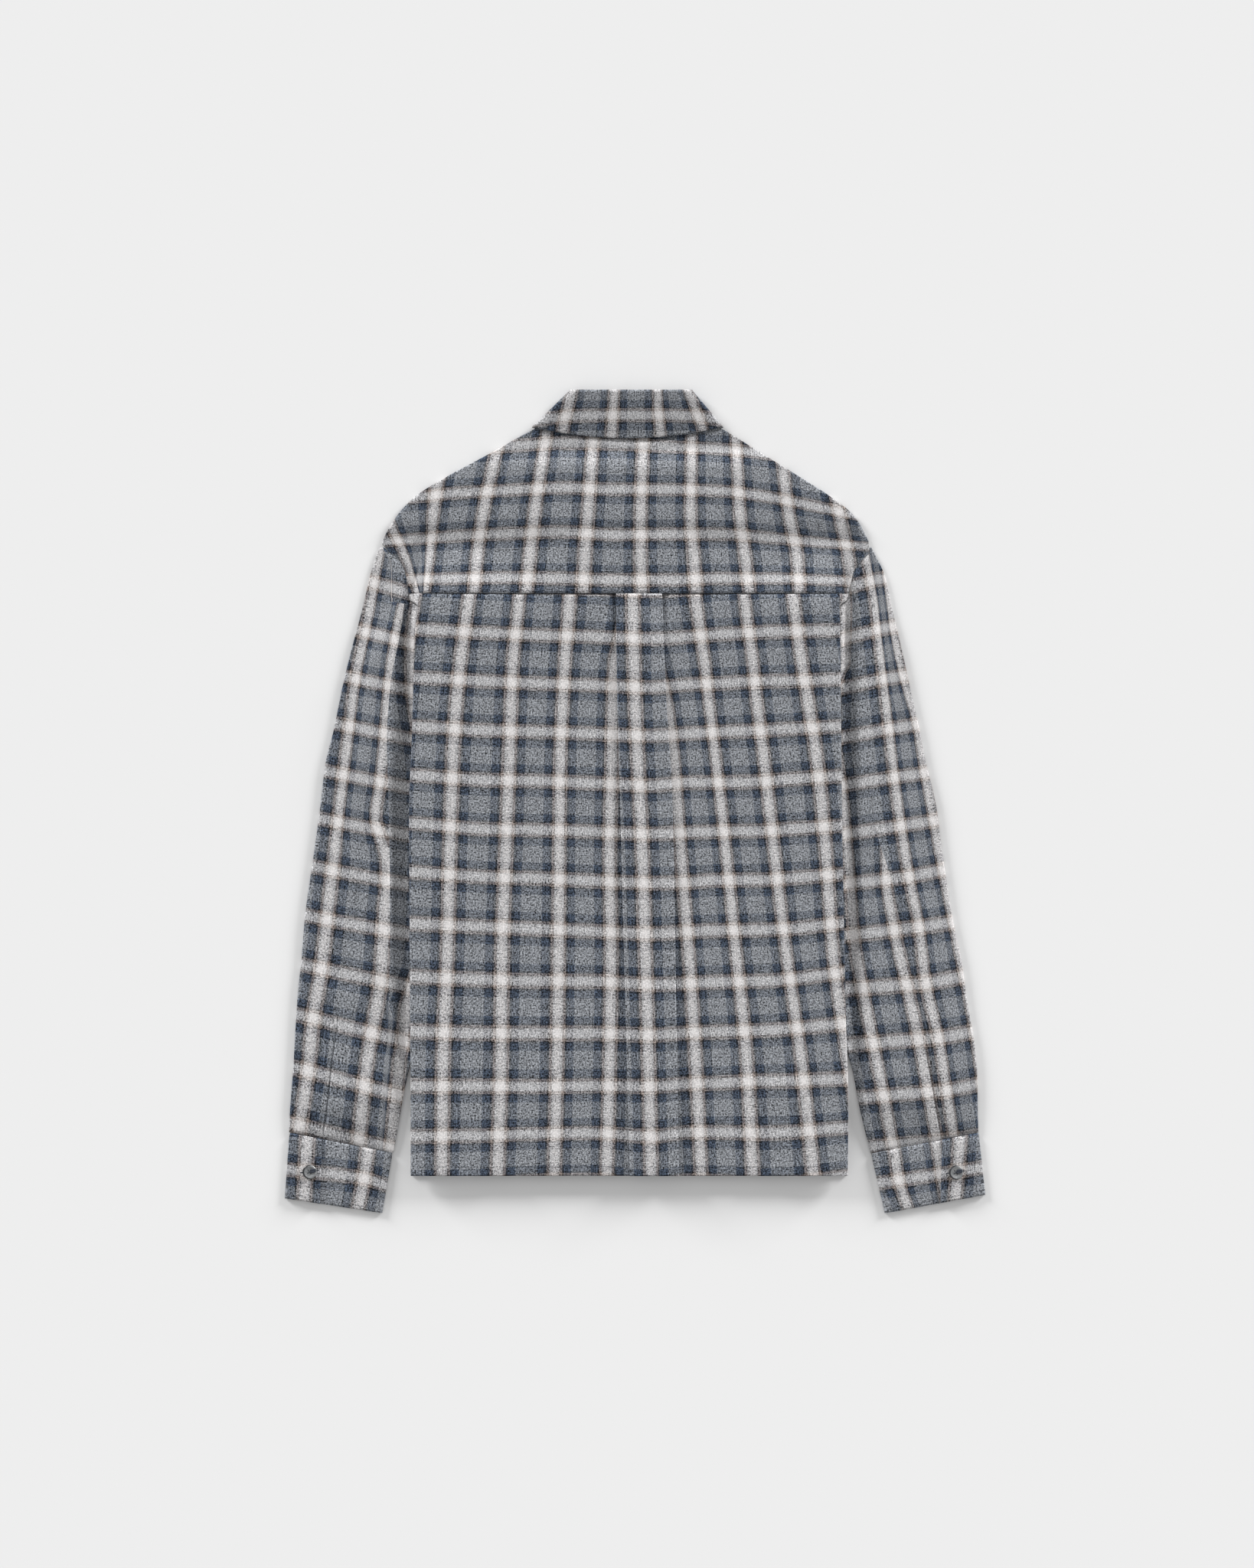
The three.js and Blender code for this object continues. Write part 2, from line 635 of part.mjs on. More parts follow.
// A cuff, a doubled band round the sleeve's end that laps over itself at its button
function makeCuff(side) {
  const out = outwards(side);
  const size = CUFF[side];
  const floor = CUFF_CLOTH / 2;
  const rows = spread(3).map((v) => {
    const outer = [0, 1].map((i) => mix(size.outer[0][i], size.outer[1][i], v));
    const inner = [0, 1].map((i) => mix(size.inner[0][i], size.inner[1][i], v));
    const gap = v === 0 ? SEAM_GAP : 0;
    const rowY = (x) => mix(outer[1], inner[1], (x - outer[0]) / (inner[0] - outer[0])) - gap;
    const outerTurn = turnStart(outer[0], out, CUFF_LAYER, CUFF_CLOTH);
    const innerTurn = turnStart(inner[0], -out, CUFF_LAYER, CUFF_CLOTH);
    const lap = mix(size.lap[0], size.lap[1], v);
    const end = mix(size.under[0], size.under[1], v);
    const rise = end + out * 1;
    const over = (x) => floor + CUFF_LAYER * (1 + ramp(Math.abs(x), Math.abs(outerTurn) - 0.5, Math.abs(rise)));
    const upper = run(end, innerTurn, 6, rowY, () => floor + CUFF_LAYER);
    const lower = run(innerTurn, outerTurn, 6, rowY, () => floor);
    const lapRun = [...run(outerTurn, rise, 3, rowY, over), ...run(mix(rise, lap, 0.4), lap, 3, rowY, over)];
    return folded(folded(upper, lower, -out), lapRun, out);
  });
  addPiece(`cuff_${side}`, clothWall(rows, CUFF_CLOTH), flannel());
}

// A round shirt button with a raised rim round its dished face. The face looks along the direction.
function makeButton(name, x, y, bottom, facing) {
  const dish = 0.5;
  const rim = 1.6;
  const half = BUTTON_THICK / 2;
  const profile = [
    new THREE.Vector2(0, -half),
    new THREE.Vector2(BUTTON_RADIUS - 1, -half),
    new THREE.Vector2(BUTTON_RADIUS, 0),
    new THREE.Vector2(BUTTON_RADIUS - 0.7, half),
    new THREE.Vector2(BUTTON_RADIUS - rim, half),
    new THREE.Vector2(BUTTON_RADIUS - rim - 0.8, half - dish),
    new THREE.Vector2(0, half - dish),
  ];
  const mesh = addPiece(name, new THREE.LatheGeometry(profile, 12), buttonPlastic());
  mesh.rotation.x = (facing * Math.PI) / 2;
  mesh.position.set(x, y, bottom + half);
}

makeYoke();
makeBack();
makeFront('left');
makeFront('right');
makeSleeve('left');
makeSleeve('right');
makeCollarLeaf();
makeCollarStand();
makeCuff('left');
makeCuff('right');
for (let i = 0; i < FRONT_BUTTONS; i += 1) {
  makeButton(`button_front_${i + 1}`, NECK_CENTRE, BUTTON_TOP_Y - i * BUTTON_PITCH, 0, -1);
}
makeButton('button_collar', NECK_CENTRE, COLLAR_BUTTON_Y, 0, -1);
for (const side of ['left', 'right']) {
  const seat = CUFF_CLOTH + 2 * CUFF_LAYER + SEAM_GAP;
  makeButton(`button_cuff_${side}`, CUFF[side].button[0], CUFF[side].button[1], seat, 1);
}

export default shirt;
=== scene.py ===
import json
import math
import bmesh
import bpy
import numpy as np
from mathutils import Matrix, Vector
from mathutils.bvhtree import BVHTree

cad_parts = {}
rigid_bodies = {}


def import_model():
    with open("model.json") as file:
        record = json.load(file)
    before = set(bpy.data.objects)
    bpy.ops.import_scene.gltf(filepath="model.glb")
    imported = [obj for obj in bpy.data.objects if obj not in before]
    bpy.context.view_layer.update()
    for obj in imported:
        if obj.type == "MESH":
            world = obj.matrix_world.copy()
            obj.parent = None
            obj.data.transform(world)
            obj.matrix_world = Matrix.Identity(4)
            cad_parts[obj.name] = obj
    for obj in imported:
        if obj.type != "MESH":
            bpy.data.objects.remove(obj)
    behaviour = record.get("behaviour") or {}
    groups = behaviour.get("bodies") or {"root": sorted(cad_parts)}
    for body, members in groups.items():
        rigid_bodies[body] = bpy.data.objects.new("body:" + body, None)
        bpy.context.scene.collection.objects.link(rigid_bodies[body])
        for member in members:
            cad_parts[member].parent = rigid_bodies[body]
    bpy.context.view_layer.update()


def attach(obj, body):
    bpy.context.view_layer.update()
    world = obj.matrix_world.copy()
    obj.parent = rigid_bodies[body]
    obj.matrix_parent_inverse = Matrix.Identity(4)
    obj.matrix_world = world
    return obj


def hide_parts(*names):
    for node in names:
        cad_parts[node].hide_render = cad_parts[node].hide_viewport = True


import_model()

# The camera looks straight down on the laid shirt from far above, like a copy stand's,
# so the garment shows with almost no perspective.
CAMERA_HEIGHT = 5.0
VIEW_HEIGHT = 1.536
VIEW_CENTRE = (-0.0079, 0.0176)
SENSOR = 24.0
camera_data = bpy.data.cameras.new("camera")
camera_data.sensor_fit = "VERTICAL"
camera_data.sensor_height = SENSOR
camera_data.lens = SENSOR * CAMERA_HEIGHT / VIEW_HEIGHT
camera = bpy.data.objects.new("camera", camera_data)
camera.location = (*VIEW_CENTRE, CAMERA_HEIGHT)
bpy.context.scene.collection.objects.link(camera)
bpy.context.scene.camera = camera

# Soft studio light: an even white surround, and two broad low lamps beyond the shoulders
# that throw the soft shadows below the hem and in the valleys beside the body.
SURROUND = 0.575
LAMP_STRENGTH = 3.45
LAMP_ELEVATION = math.radians(13)
LAMP_AZIMUTH = math.radians(48)
LAMP_SPREAD = math.radians(16)
bpy.context.scene.view_settings.view_transform = "Standard"
world = bpy.data.worlds.new("surround")
world.use_nodes = True
world.node_tree.nodes["Background"].inputs["Color"].default_value = (1, 1, 1, 1)
world.node_tree.nodes["Background"].inputs["Strength"].default_value = SURROUND
bpy.context.scene.world = world
for lamp_side in (-1, 1):
    lamp_data = bpy.data.lights.new("lamp", "SUN")
    lamp_data.energy = LAMP_STRENGTH
    lamp_data.angle = LAMP_SPREAD
    lamp = bpy.data.objects.new("lamp", lamp_data)
    lamp.rotation_euler = (LAMP_ELEVATION - math.pi / 2, 0, lamp_side * LAMP_AZIMUTH)
    bpy.context.scene.collection.objects.link(lamp)

# The floor is a plain pale board, matt, on which the shirt lies.
FLOOR_SIZE = 4.0
FLOOR_COLOUR = (0.8, 0.8, 0.8, 1)
floor_bm = bmesh.new()
bmesh.ops.create_grid(floor_bm, x_segments=2, y_segments=2, size=FLOOR_SIZE)
floor_mesh = bpy.data.meshes.new("floor")
floor_bm.to_mesh(floor_mesh)
floor_bm.free()
floor = bpy.data.objects.new("floor", floor_mesh)
floor_material = bpy.data.materials.new("pale board")
floor_material.use_nodes = True
floor_shader = floor_material.node_tree.nodes["Principled BSDF"]
floor_shader.inputs["Base Color"].default_value = FLOOR_COLOUR
floor_shader.inputs["Roughness"].default_value = 1.0
floor_shader.inputs["Specular IOR Level"].default_value = 0.0
floor_mesh.materials.append(floor_material)
bpy.context.scene.collection.objects.link(floor)

# The yoke: one piece of check flannel across the shoulders, folded over to the front and
# sewn to the back along a straight seam. The cloth is a brushed twill, its yarns dyed in
# white, brown, black, blue and grey.
MM = 0.001
CLOTH = 0.9
LAYER = 1.5
SEAM_GAP = 0.3
FLOOR_LAYER = 0.5
SECOND_LAYER = FLOOR_LAYER + LAYER
BODY_LOFT = 3.2
SLEEVE_LOFT = 6.5
NECK_CENTRE = -6.5
NECK_HALF_WIDTH = 83.5
NECK_POINT_Y = 370
FRONT_NECK_DROP = 81.5
YOKE_SEAM_Y = 204
HEM_Y = -365.5
SHOULDER_POINT_Y = 250
FLAP_START_Y = 188
CUFF_SEAM_Y = -345
BUTTON_LIFT = 2.3
SIDE_FOLD = 5.0
PUFF = 5.0


def curve(points):
    """A smooth line through points of (place, value), straight on beyond its ends."""
    ordered = sorted(points)
    place = np.array([p[0] for p in ordered], float)
    value = np.array([p[1] for p in ordered], float)
    step = np.diff(place)
    slope = np.diff(value) / step
    tangent = np.empty(len(place))
    tangent[0] = slope[0]
    tangent[-1] = slope[-1]
    for i in range(1, len(place) - 1):
        same_way = slope[i - 1] * slope[i] > 0
        tangent[i] = 2 * slope[i - 1] * slope[i] / (slope[i - 1] + slope[i]) if same_way else 0

    def at(t):
        t = np.asarray(t, float)
        i = np.clip(np.searchsorted(place, t) - 1, 0, len(step) - 1)
        s = np.clip((t - place[i]) / step[i], 0, 1)
        smooth = (value[i] * (1 + 2 * s) * (1 - s) ** 2 + value[i + 1] * s * s * (3 - 2 * s)
                  + step[i] * s * (1 - s) * (tangent[i] * (1 - s) - tangent[i + 1] * s))
        before = np.minimum(t - place[0], 0) * tangent[0]
        after = np.maximum(t - place[-1], 0) * tangent[-1]
        return smooth + before + after
    return at


def ease(value, start, end):
    """0 at the first value and 1 at the second, whichever is larger, rounded at both."""
    t = np.clip((np.asarray(value, float) - start) / (end - start), 0, 1)
    return t * t * (3 - 2 * t)


def two_sides(rows):
    """The left and right columns of a table of (height, left, right) as smooth lines."""
    return {"left": curve([(r[0], r[1]) for r in rows]), "right": curve([(r[0], r[2]) for r in rows])}


OUTLINE = two_sides([
    (370, -90, 77), (364, -100, 87), (359, -110, 95.5), (341, -142, 124), (317, -186.5, 163),
    (298, -216.5, 192.5), (279.5, -233.5, 215), (260.5, -245, 226), (242, -253, 235), (223, -259, 244),
    (204.5, -263.5, 248.5), (185.5, -268, 252.5), (148, -278, 261.5), (110.5, -287, 269.5),
    (73, -294.5, 278), (35.5, -303.5, 285.5), (-2, -308, 294.5), (-39.5, -313, 299.5),
    (-114.5, -323.5, 311), (-152, -326.5, 319), (-189.5, -330.5, 324.5), (-264.5, -335, 335),
    (-302, -338, 335.5), (-330, -339, 336.5)])
BODY_EDGE = two_sides([
    (258, -209, 199), (195, -212, 200), (168, -215, 200.5), (128.5, -216.5, 201), (74.5, -218, 201.5),
    (-14.5, -221, 202.5), (-204, -220, 206), (-294, -219.5, 208.5), (-366, -219.5, 208)])
ARMHOLE = two_sides([
    (252, -247, 228), (246, -242.5, 230), (237, -231, 222.5), (226, -225.5, 214.5), (211, -223, 211),
    (197, -220.5, 207.5), (188, -209.5, 197.5), (160, -207, 193), (110, -200, 186), (60, -186, 172),
    (35, -165, 151), (25, -150, 136), (-366, -150, 138)])
YOKE_RETURN = curve([(370, 50), (300, 34), (270, 16), (258, 5), (252, 1)])


def signed(lines, x, y):
    """The value of a two-sided table on the side of each place."""
    return np.where(x < NECK_CENTRE, lines["left"](y), lines["right"](y))


def out_of(side):
    return -1 if side == "left" else 1


def in_tuck(x, y):
    """How far a sleeve has risen into the body's tuck, 0 clear of it and 1 inside."""
    edge = np.abs(signed(BODY_EDGE, x, y))
    return ease(np.abs(x), edge + 6, edge + 0.5) * ease(y, SHOULDER_POINT_Y, FLAP_START_Y)


def sleeve_under(x, y):
    return FLOOR_LAYER + 2 * LAYER * in_tuck(x, y)


def sleeve_over(x, y):
    edge = np.abs(signed(OUTLINE, x, y))
    body = np.abs(signed(BODY_EDGE, x, y))
    reach = np.abs(x)
    across = ease(reach, body + 6, body + 26) * (1 - 0.75 * ease(reach, edge - 40, edge))
    along = ease(y, 225, 130) * ease(y, CUFF_SEAM_Y, CUFF_SEAM_Y + 60)
    return sleeve_under(x, y) + LAYER + SLEEVE_LOFT * across * along


def collar_lift(x, y):
    distance = np.hypot(x - NECK_CENTRE, y - NECK_POINT_Y)
    return LAYER * ease(distance, 192, 140)


def front_height(x, y):
    placket = BUTTON_LIFT * ease(np.abs(x - NECK_CENTRE), 44, 24)
    return FLOOR_LAYER + np.maximum(collar_lift(x, y), placket)


def back_height(x, y):
    """The middle of the outer layer of the yoke and back, before its creases."""
    x = np.asarray(x, float)
    y = np.asarray(y, float) + 0 * x
    edge = np.abs(signed(BODY_EDGE, x, y))
    rise = ease(y, 262, FLAP_START_Y)
    inner = np.minimum(np.abs(x), edge)
    below_collar = ease(y, 352, 326)
    centre = (BUTTON_LIFT + LAYER) * ease(np.abs(x - NECK_CENTRE), 92, 46) * below_collar
    tuck = (3 * LAYER + SIDE_FOLD + SEAM_GAP) * rise * ease(inner, 88, 132)
    loft = np.maximum(BODY_LOFT * below_collar * ease(y, SHOULDER_POINT_Y, 280), BODY_LOFT * rise)
    puff = PUFF * np.maximum(ease(y, 252, 195), below_collar * (1 - ease(np.abs(x), 60, 185)))
    body = SECOND_LAYER + np.maximum.reduce([collar_lift(x, y), centre + 0.6 * puff, tuck, loft + puff])
    seam = np.abs(signed(ARMHOLE, x, y))
    seam_height = sleeve_over(np.sign(x) * seam, y) + SEAM_GAP * rise
    beyond = np.clip((np.abs(x) - edge) / np.maximum(seam - edge, 1), 0, 1)
    turned_down = body + (seam_height - body) * (1 - (1 - beyond) ** 2.2)
    return np.where((np.abs(x) <= edge) | (y > SHOULDER_POINT_Y + 2), body, turned_down)


def crease(x, y, path, height, width):
    """A soft ridge along a path, or a trough where its height is below 0, fading at its ends."""
    nearest = np.full(np.shape(x), 1e9)
    along = np.zeros(np.shape(x))
    for i, ((x0, y0), (x1, y1)) in enumerate(zip(path, path[1:])):
        length = (x1 - x0) ** 2 + (y1 - y0) ** 2
        t = np.clip(((x - x0) * (x1 - x0) + (y - y0) * (y1 - y0)) / length, 0, 1)
        distance = np.hypot(x - x0 - t * (x1 - x0), y - y0 - t * (y1 - y0))
        closer = distance < nearest
        nearest = np.where(closer, distance, nearest)
        along = np.where(closer, (i + t) / (len(path) - 1), along)
    fade = np.sqrt(np.sin(np.pi * np.clip(along, 0.03, 0.97)))
    return height * fade * np.exp(-(nearest / width) ** 2)


def creased(height, creases):
    """A height function with its creases added, none of them sunk into the layer below."""
    def at(x, y):
        x = np.asarray(x, float)
        y = np.asarray(y, float) + 0 * x
        level = height(x, y)
        lowest = np.minimum(level, FLOOR_LAYER + CLOTH)
        return np.maximum(level + sum(crease(x, y, *each) for each in creases), lowest)
    return at


def spaced(start, end, count, dense=()):
    """Places from one end to the other, closer together round each (place, width, strength)."""
    t = np.linspace(0, 1, 240)
    x = start + (end - start) * t
    density = 1 + sum(strength * np.exp(-((x - place) / width) ** 2) for place, width, strength in dense)
    total = np.concatenate([[0], np.cumsum((density[1:] + density[:-1]) / 2)])
    return np.interp(np.linspace(0, total[-1], count), total, x)


def run(places, row_y, height, shown=1):
    """A row of cloth over some places: x, y, height, and the number of its chart, 0 unseen."""
    places = np.asarray(places, float)
    y = row_y(places)
    return np.column_stack([places, y, height(places, y), np.full(len(places), shown)])


def turn(start, end, direction, count=7):
    """The half circle in which the cloth turns back on itself between two layers."""
    t = np.linspace(0, 1, count + 2)[1:-1]
    radius = abs(end[2] - start[2]) / 2
    x = start[0] + (end[0] - start[0]) * t + direction * radius * np.sin(np.pi * t)
    y = start[1] + (end[1] - start[1]) * t
    z = start[2] + (end[2] - start[2]) * (1 - np.cos(np.pi * t)) / 2
    return np.column_stack([x, y, z, np.zeros(count)])


def folded(first, second, direction):
    return np.vstack([first, turn(first[-1], second[0], direction), second])


def turn_start(edge, direction, gap, cloth=CLOTH):
    """Where a run ends so that the turn after it just reaches the folded edge."""
    return edge - direction * (gap + cloth) / 2


class Chart:
    """Where the check's white stripes run: lengthwise ones by number, each a line of
    (height, place), and crosswise ones by number, with their heights at some places."""

    def __init__(self, stripes, bars, pitch):
        self.numbers = [number for number, _ in stripes]
        self.stripes = [curve(points) for _, points in stripes]
        self.bars = bars
        self.pitch = pitch

    def across(self, x, y):
        places = np.array([stripe(y) for stripe in self.stripes])
        value = self.numbers[0] + (x - places[0]) / self.pitch
        for i in range(1, len(places)):
            part = (x - places[i - 1]) / np.maximum(places[i] - places[i - 1], 1)
            inside = self.numbers[i - 1] + part * (self.numbers[i] - self.numbers[i - 1])
            value = np.where(x > places[i - 1], inside, value)
        last = self.numbers[-1] + (x - places[-1]) / self.pitch
        return np.where(x > places[-1], last, value)

    def along(self, x, y):
        heights = [(number, height(x, y)) for number, height in self.bars]
        first, second = heights[0], heights[1]
        value = first[0] + (y - first[1]) / (first[1] - second[1])
        for (above, top), (below, bottom) in zip(heights, heights[1:]):
            part = (y - bottom) / (top - bottom)
            value = np.where(y <= top, below + part * (above - below), value)
        last = heights[-1]
        spacing = heights[-2][1] - last[1]
        return np.where(y < last[1], last[0] + (y - last[1]) / spacing, value)


def level_bars(columns, rows):
    """Crosswise stripes from their heights at some columns."""
    lines = [(number, curve(list(zip(columns, heights)))) for number, heights in rows]
    return [(number, lambda x, y, line=line: line(x)) for number, line in lines]


def make_cloth(name, rows, charts, thickness=CLOTH):
    """A piece of cloth from rows of points, with the check's place kept as its UV map."""
    grid = np.array(rows)
    count, columns = grid.shape[:2]
    step = np.sqrt((np.diff(grid[:, :, :3], axis=1) ** 2).sum(axis=2))
    length = np.concatenate([np.zeros((count, 1)), np.cumsum(step, axis=1)], axis=1)
    charted = np.zeros((count, columns))
    for number, chart in enumerate(charts, 1):
        charted = np.where(grid[:, :, 3] == number, chart.across(grid[:, :, 0], grid[:, :, 1]), charted)
    across = np.empty((count, columns))
    for j in range(count):
        shown = np.flatnonzero(grid[j, :, 3] > 0.5)
        known = length[j, shown]
        values = charted[j, shown]
        way = np.sign(values[-1] - values[0])
        across[j] = np.interp(length[j], known, values)
        before = np.minimum(length[j] - known[0], 0)
        after = np.maximum(length[j] - known[-1], 0)
        across[j] += way * (before + after) / charts[0].pitch
    along = charts[0].along(grid[:, :, 0], grid[:, :, 1])
    bm = bmesh.new()
    bmesh.ops.create_grid(bm, x_segments=columns - 1, y_segments=count - 1, size=1.0)
    bm.verts.ensure_lookup_table()
    places = {}
    for vert in bm.verts:
        i = round((vert.co.x + 1) / 2 * (columns - 1))
        j = round((vert.co.y + 1) / 2 * (count - 1))
        places[vert.index] = (j, i)
        vert.co = grid[j, i, :3] * MM
    check = bm.loops.layers.uv.new("check")
    for face in bm.faces:
        face.smooth = True
        for loop in face.loops:
            j, i = places[loop.vert.index]
            loop[check].uv = (across[j, i], along[j, i])
    mesh = bpy.data.meshes.new(name)
    bm.to_mesh(mesh)
    bm.free()
    piece = bpy.data.objects.new(name, mesh)
    bpy.context.scene.collection.objects.link(piece)
    wall = piece.modifiers.new("thickness", "SOLIDIFY")
    wall.thickness = thickness * MM
    wall.offset = 0
    print(name, "columns", columns, "rows", count, "area", round(sum(p.area for p in mesh.polygons), 4))
    return piece


class Value:
    """A number in a shader, which takes ordinary arithmetic."""

    def __init__(self, tree, socket):
        self.tree = tree
        self.socket = socket

    def joined(self, operation, first, second=0.0):
        maths = self.tree.nodes.new("ShaderNodeMath")
        maths.operation = operation
        for slot, item in zip(maths.inputs, (first, second)):
            if isinstance(item, Value):
                self.tree.links.new(item.socket, slot)
            else:
                slot.default_value = item
        return Value(self.tree, maths.outputs[0])

    def __add__(self, other):
        return self.joined("ADD", self, other)

    def __sub__(self, other):
        return self.joined("SUBTRACT", self, other)

    def __mul__(self, other):
        return self.joined("MULTIPLY", self, other)

    def __truediv__(self, other):
        return self.joined("DIVIDE", self, other)

    def __rsub__(self, other):
        return self.joined("SUBTRACT", other, self)

    __radd__ = __add__
    __rmul__ = __mul__

    def fraction(self):
        return self.joined("FRACT", self)

    def size(self):
        return self.joined("ABSOLUTE", self)

    def wave(self):
        return self.joined("SINE", self)


def add_node(tree, kind, settings=None, **sockets):
    """A node of a kind, with its settings made first and then its sockets set or linked."""
    made = tree.nodes.new(kind)
    for key, value in (settings or {}).items():
        if key == "stops":
            ramp = made.color_ramp
            while len(ramp.elements) > 1:
                ramp.elements.remove(ramp.elements[-1])
            ramp.elements[0].position = value[0][0]
            ramp.elements[0].color = (*value[0][1], 1)
            for place, colour in value[1:]:
                ramp.elements.new(place).color = (*colour, 1)
        else:
            setattr(made, key, value)
    for key, value in sockets.items():
        slot = made.inputs[int(key[1:])] if key[0] == "i" and key[1:].isdigit() else made.inputs[key.replace("_", " ")]
        if isinstance(value, Value):
            tree.links.new(value.socket, slot)
        elif isinstance(value, bpy.types.NodeSocket):
            tree.links.new(value, slot)
        else:
            slot.default_value = value
    return made


WHITE_YARN = (0.75, 0.72, 0.71)
PALE_WHITE_YARN = (0.68, 0.665, 0.665)
PALE_YARN = (0.53, 0.515, 0.51)
BROWN_YARN = (0.25, 0.212, 0.195)
BLACK_YARN = (0.012, 0.012, 0.014)
BLUE_YARN = (0.046, 0.060, 0.086)
GREY_YARN = (0.222, 0.233, 0.252)
# The bands from the middle of a white stripe to half way to the next, as shares of that width
WARP_BANDS = [(0.0, WHITE_YARN), (0.06, WHITE_YARN), (0.165, PALE_YARN), (0.20, BROWN_YARN), (0.275, BROWN_YARN),
              (0.30, BLACK_YARN), (0.345, BLACK_YARN), (0.37, BLUE_YARN), (0.60, BLUE_YARN), (0.645, GREY_YARN)]
WEFT_BANDS = [(0.0, PALE_WHITE_YARN), (0.06, PALE_WHITE_YARN), (0.165, PALE_YARN), (0.205, BROWN_YARN),
              (0.29, BROWN_YARN), (0.315, BLACK_YARN), (0.365, BLACK_YARN), (0.39, BLUE_YARN),
              (0.635, BLUE_YARN), (0.675, GREY_YARN)]


def make_flannel():
    material = bpy.data.materials.new("flannel")
    material.use_nodes = True
    tree = material.node_tree
    shader = tree.nodes["Principled BSDF"]
    shader.inputs["Roughness"].default_value = 0.95
    shader.inputs["Specular IOR Level"].default_value = 0.12
    shader.inputs["Sheen Weight"].default_value = 0.06
    shader.inputs["Sheen Roughness"].default_value = 0.5
    check = add_node(tree, "ShaderNodeUVMap", {"uv_map": "check"})
    parts = add_node(tree, "ShaderNodeSeparateXYZ", i0=check.outputs[0])
    across = Value(tree, parts.outputs["X"])
    along = Value(tree, parts.outputs["Y"])

    def noise(x_scale, y_scale, detail):
        """Cloudy noise on the cloth, with so many spots in a repeat each way."""
        place = add_node(tree, "ShaderNodeCombineXYZ", i0=across * x_scale, i1=along * y_scale)
        cloud = add_node(tree, "ShaderNodeTexNoise", {"noise_dimensions": "2D"},
                         Vector=place.outputs[0], Scale=1.0, Detail=detail, Roughness=0.6)
        return Value(tree, cloud.outputs[0]) - 0.5

    slub = noise(2.0, 2.2, 2.0)
    warp_yarn = noise(58.0, 7.0, 2.0)
    weft_yarn = noise(8.0, 52.0, 2.0)
    nap = noise(34.0, 31.0, 4.0)
    warp_place = ((across + slub * 0.012 + nap * 0.024 + 0.5).fraction() - 0.5).size() * 2.0
    weft_place = ((along + slub * 0.012 + nap * 0.024 + 0.5).fraction() - 0.5).size() * 2.0
    warp = add_node(tree, "ShaderNodeValToRGB", {"stops": WARP_BANDS}, Fac=warp_place)
    weft = add_node(tree, "ShaderNodeValToRGB", {"stops": WEFT_BANDS}, Fac=weft_place)
    twill = ((across * 60.0 + along * 53.0) * 6.2832).wave()
    weave = ((across * 25.0) * 6.2832).wave() * ((along * 24.0) * 6.2832).wave()
    share = 0.47 + warp_yarn * 0.5 - weft_yarn * 0.5 + twill * 0.08 + weave * 0.1
    woven = add_node(tree, "ShaderNodeMix", {"data_type": "RGBA", "clamp_factor": True},
                     i0=share, i6=warp.outputs[0], i7=weft.outputs[0])
    brightness = Value(tree, add_node(tree, "ShaderNodeRGBToBW", i0=woven.outputs[2]).outputs[0])
    mottle = nap * 5.0 + warp_yarn * 1.4 + weft_yarn * 1.4 + slub * 0.2
    tone = 0.95 + mottle * (1.35 - brightness * 1.7)
    toned = add_node(tree, "ShaderNodeVectorMath", {"operation": "SCALE"}, i0=woven.outputs[2], Scale=tone)
    tree.links.new(toned.outputs[0], shader.inputs["Base Color"])
    relief = nap * 0.6 + warp_yarn * 0.3 + weft_yarn * 0.3 + twill * 0.1
    bump = add_node(tree, "ShaderNodeBump", Strength=0.3, Distance=0.0004, Height=relief)
    tree.links.new(bump.outputs[0], shader.inputs["Normal"])
    return material


FLANNEL = make_flannel()
YOKE_CHART = Chart([
    (-5, [(211.1, -213.4), (240.4, -223.9), (281.6, -243.4), (326.6, -257.6)]),
    (-4, [(211.1, -205.9), (240.4, -202.1), (281.6, -197.6), (326.6, -190.9)]),
    (-3, [(211.1, -157.1), (240.4, -154.9), (281.6, -148.9), (326.6, -139.1)]),
    (-2, [(211.1, -106.1), (240.4, -103.1), (281.6, -98.6), (326.6, -91.9)]),
    (-1, [(211.1, -50.6), (240.4, -49.1), (281.6, -46.1), (326.6, -43.1)]),
    (0, [(211.1, 6.4), (240.4, 5.6), (281.6, 5.6), (326.6, 7.1)]),
    (1, [(211.1, 59.6), (240.4, 57.4), (281.6, 54.4), (326.6, 55.1)]),
    (2, [(211.1, 111.4), (240.4, 107.6), (281.6, 102.4), (326.6, 100.1)]),
    (3, [(211.1, 160.1), (240.4, 158.6), (281.6, 150.4), (326.6, 144.4)]),
    (4, [(211.1, 211.9), (240.4, 208.9), (281.6, 199.9), (326.6, 191.6)]),
], level_bars([-202, -172, -122, -71, -17, 34, 83, 135, 180], [
    (0, [338.6, 344.6, 348.4, 351.4, 350.6, 347.6, 345.4, 340.1, 333.4]),
    (-1, [299.6, 302.6, 304.9, 307.1, 305.6, 305.6, 304.1, 297.4, 287.6]),
    (-2, [258.4, 260.6, 262.9, 264.4, 261.4, 262.1, 262.1, 258.4, 254.6]),
    (-3, [217.9, 218.6, 219.4, 218.6, 217.1, 217.1, 218.6, 218.6, 217.1]),
]), 50.0)
ARMHOLE_CREASES = [
    ([(-247, 251), (-242.5, 246), (-231, 237), (-225.5, 226), (-223, 211), (-220.5, 197)], -1.8, 1.8),
    ([(228, 251), (230, 246), (222.5, 237), (214.5, 226), (211, 211), (207.5, 197)], -1.8, 1.8),
]
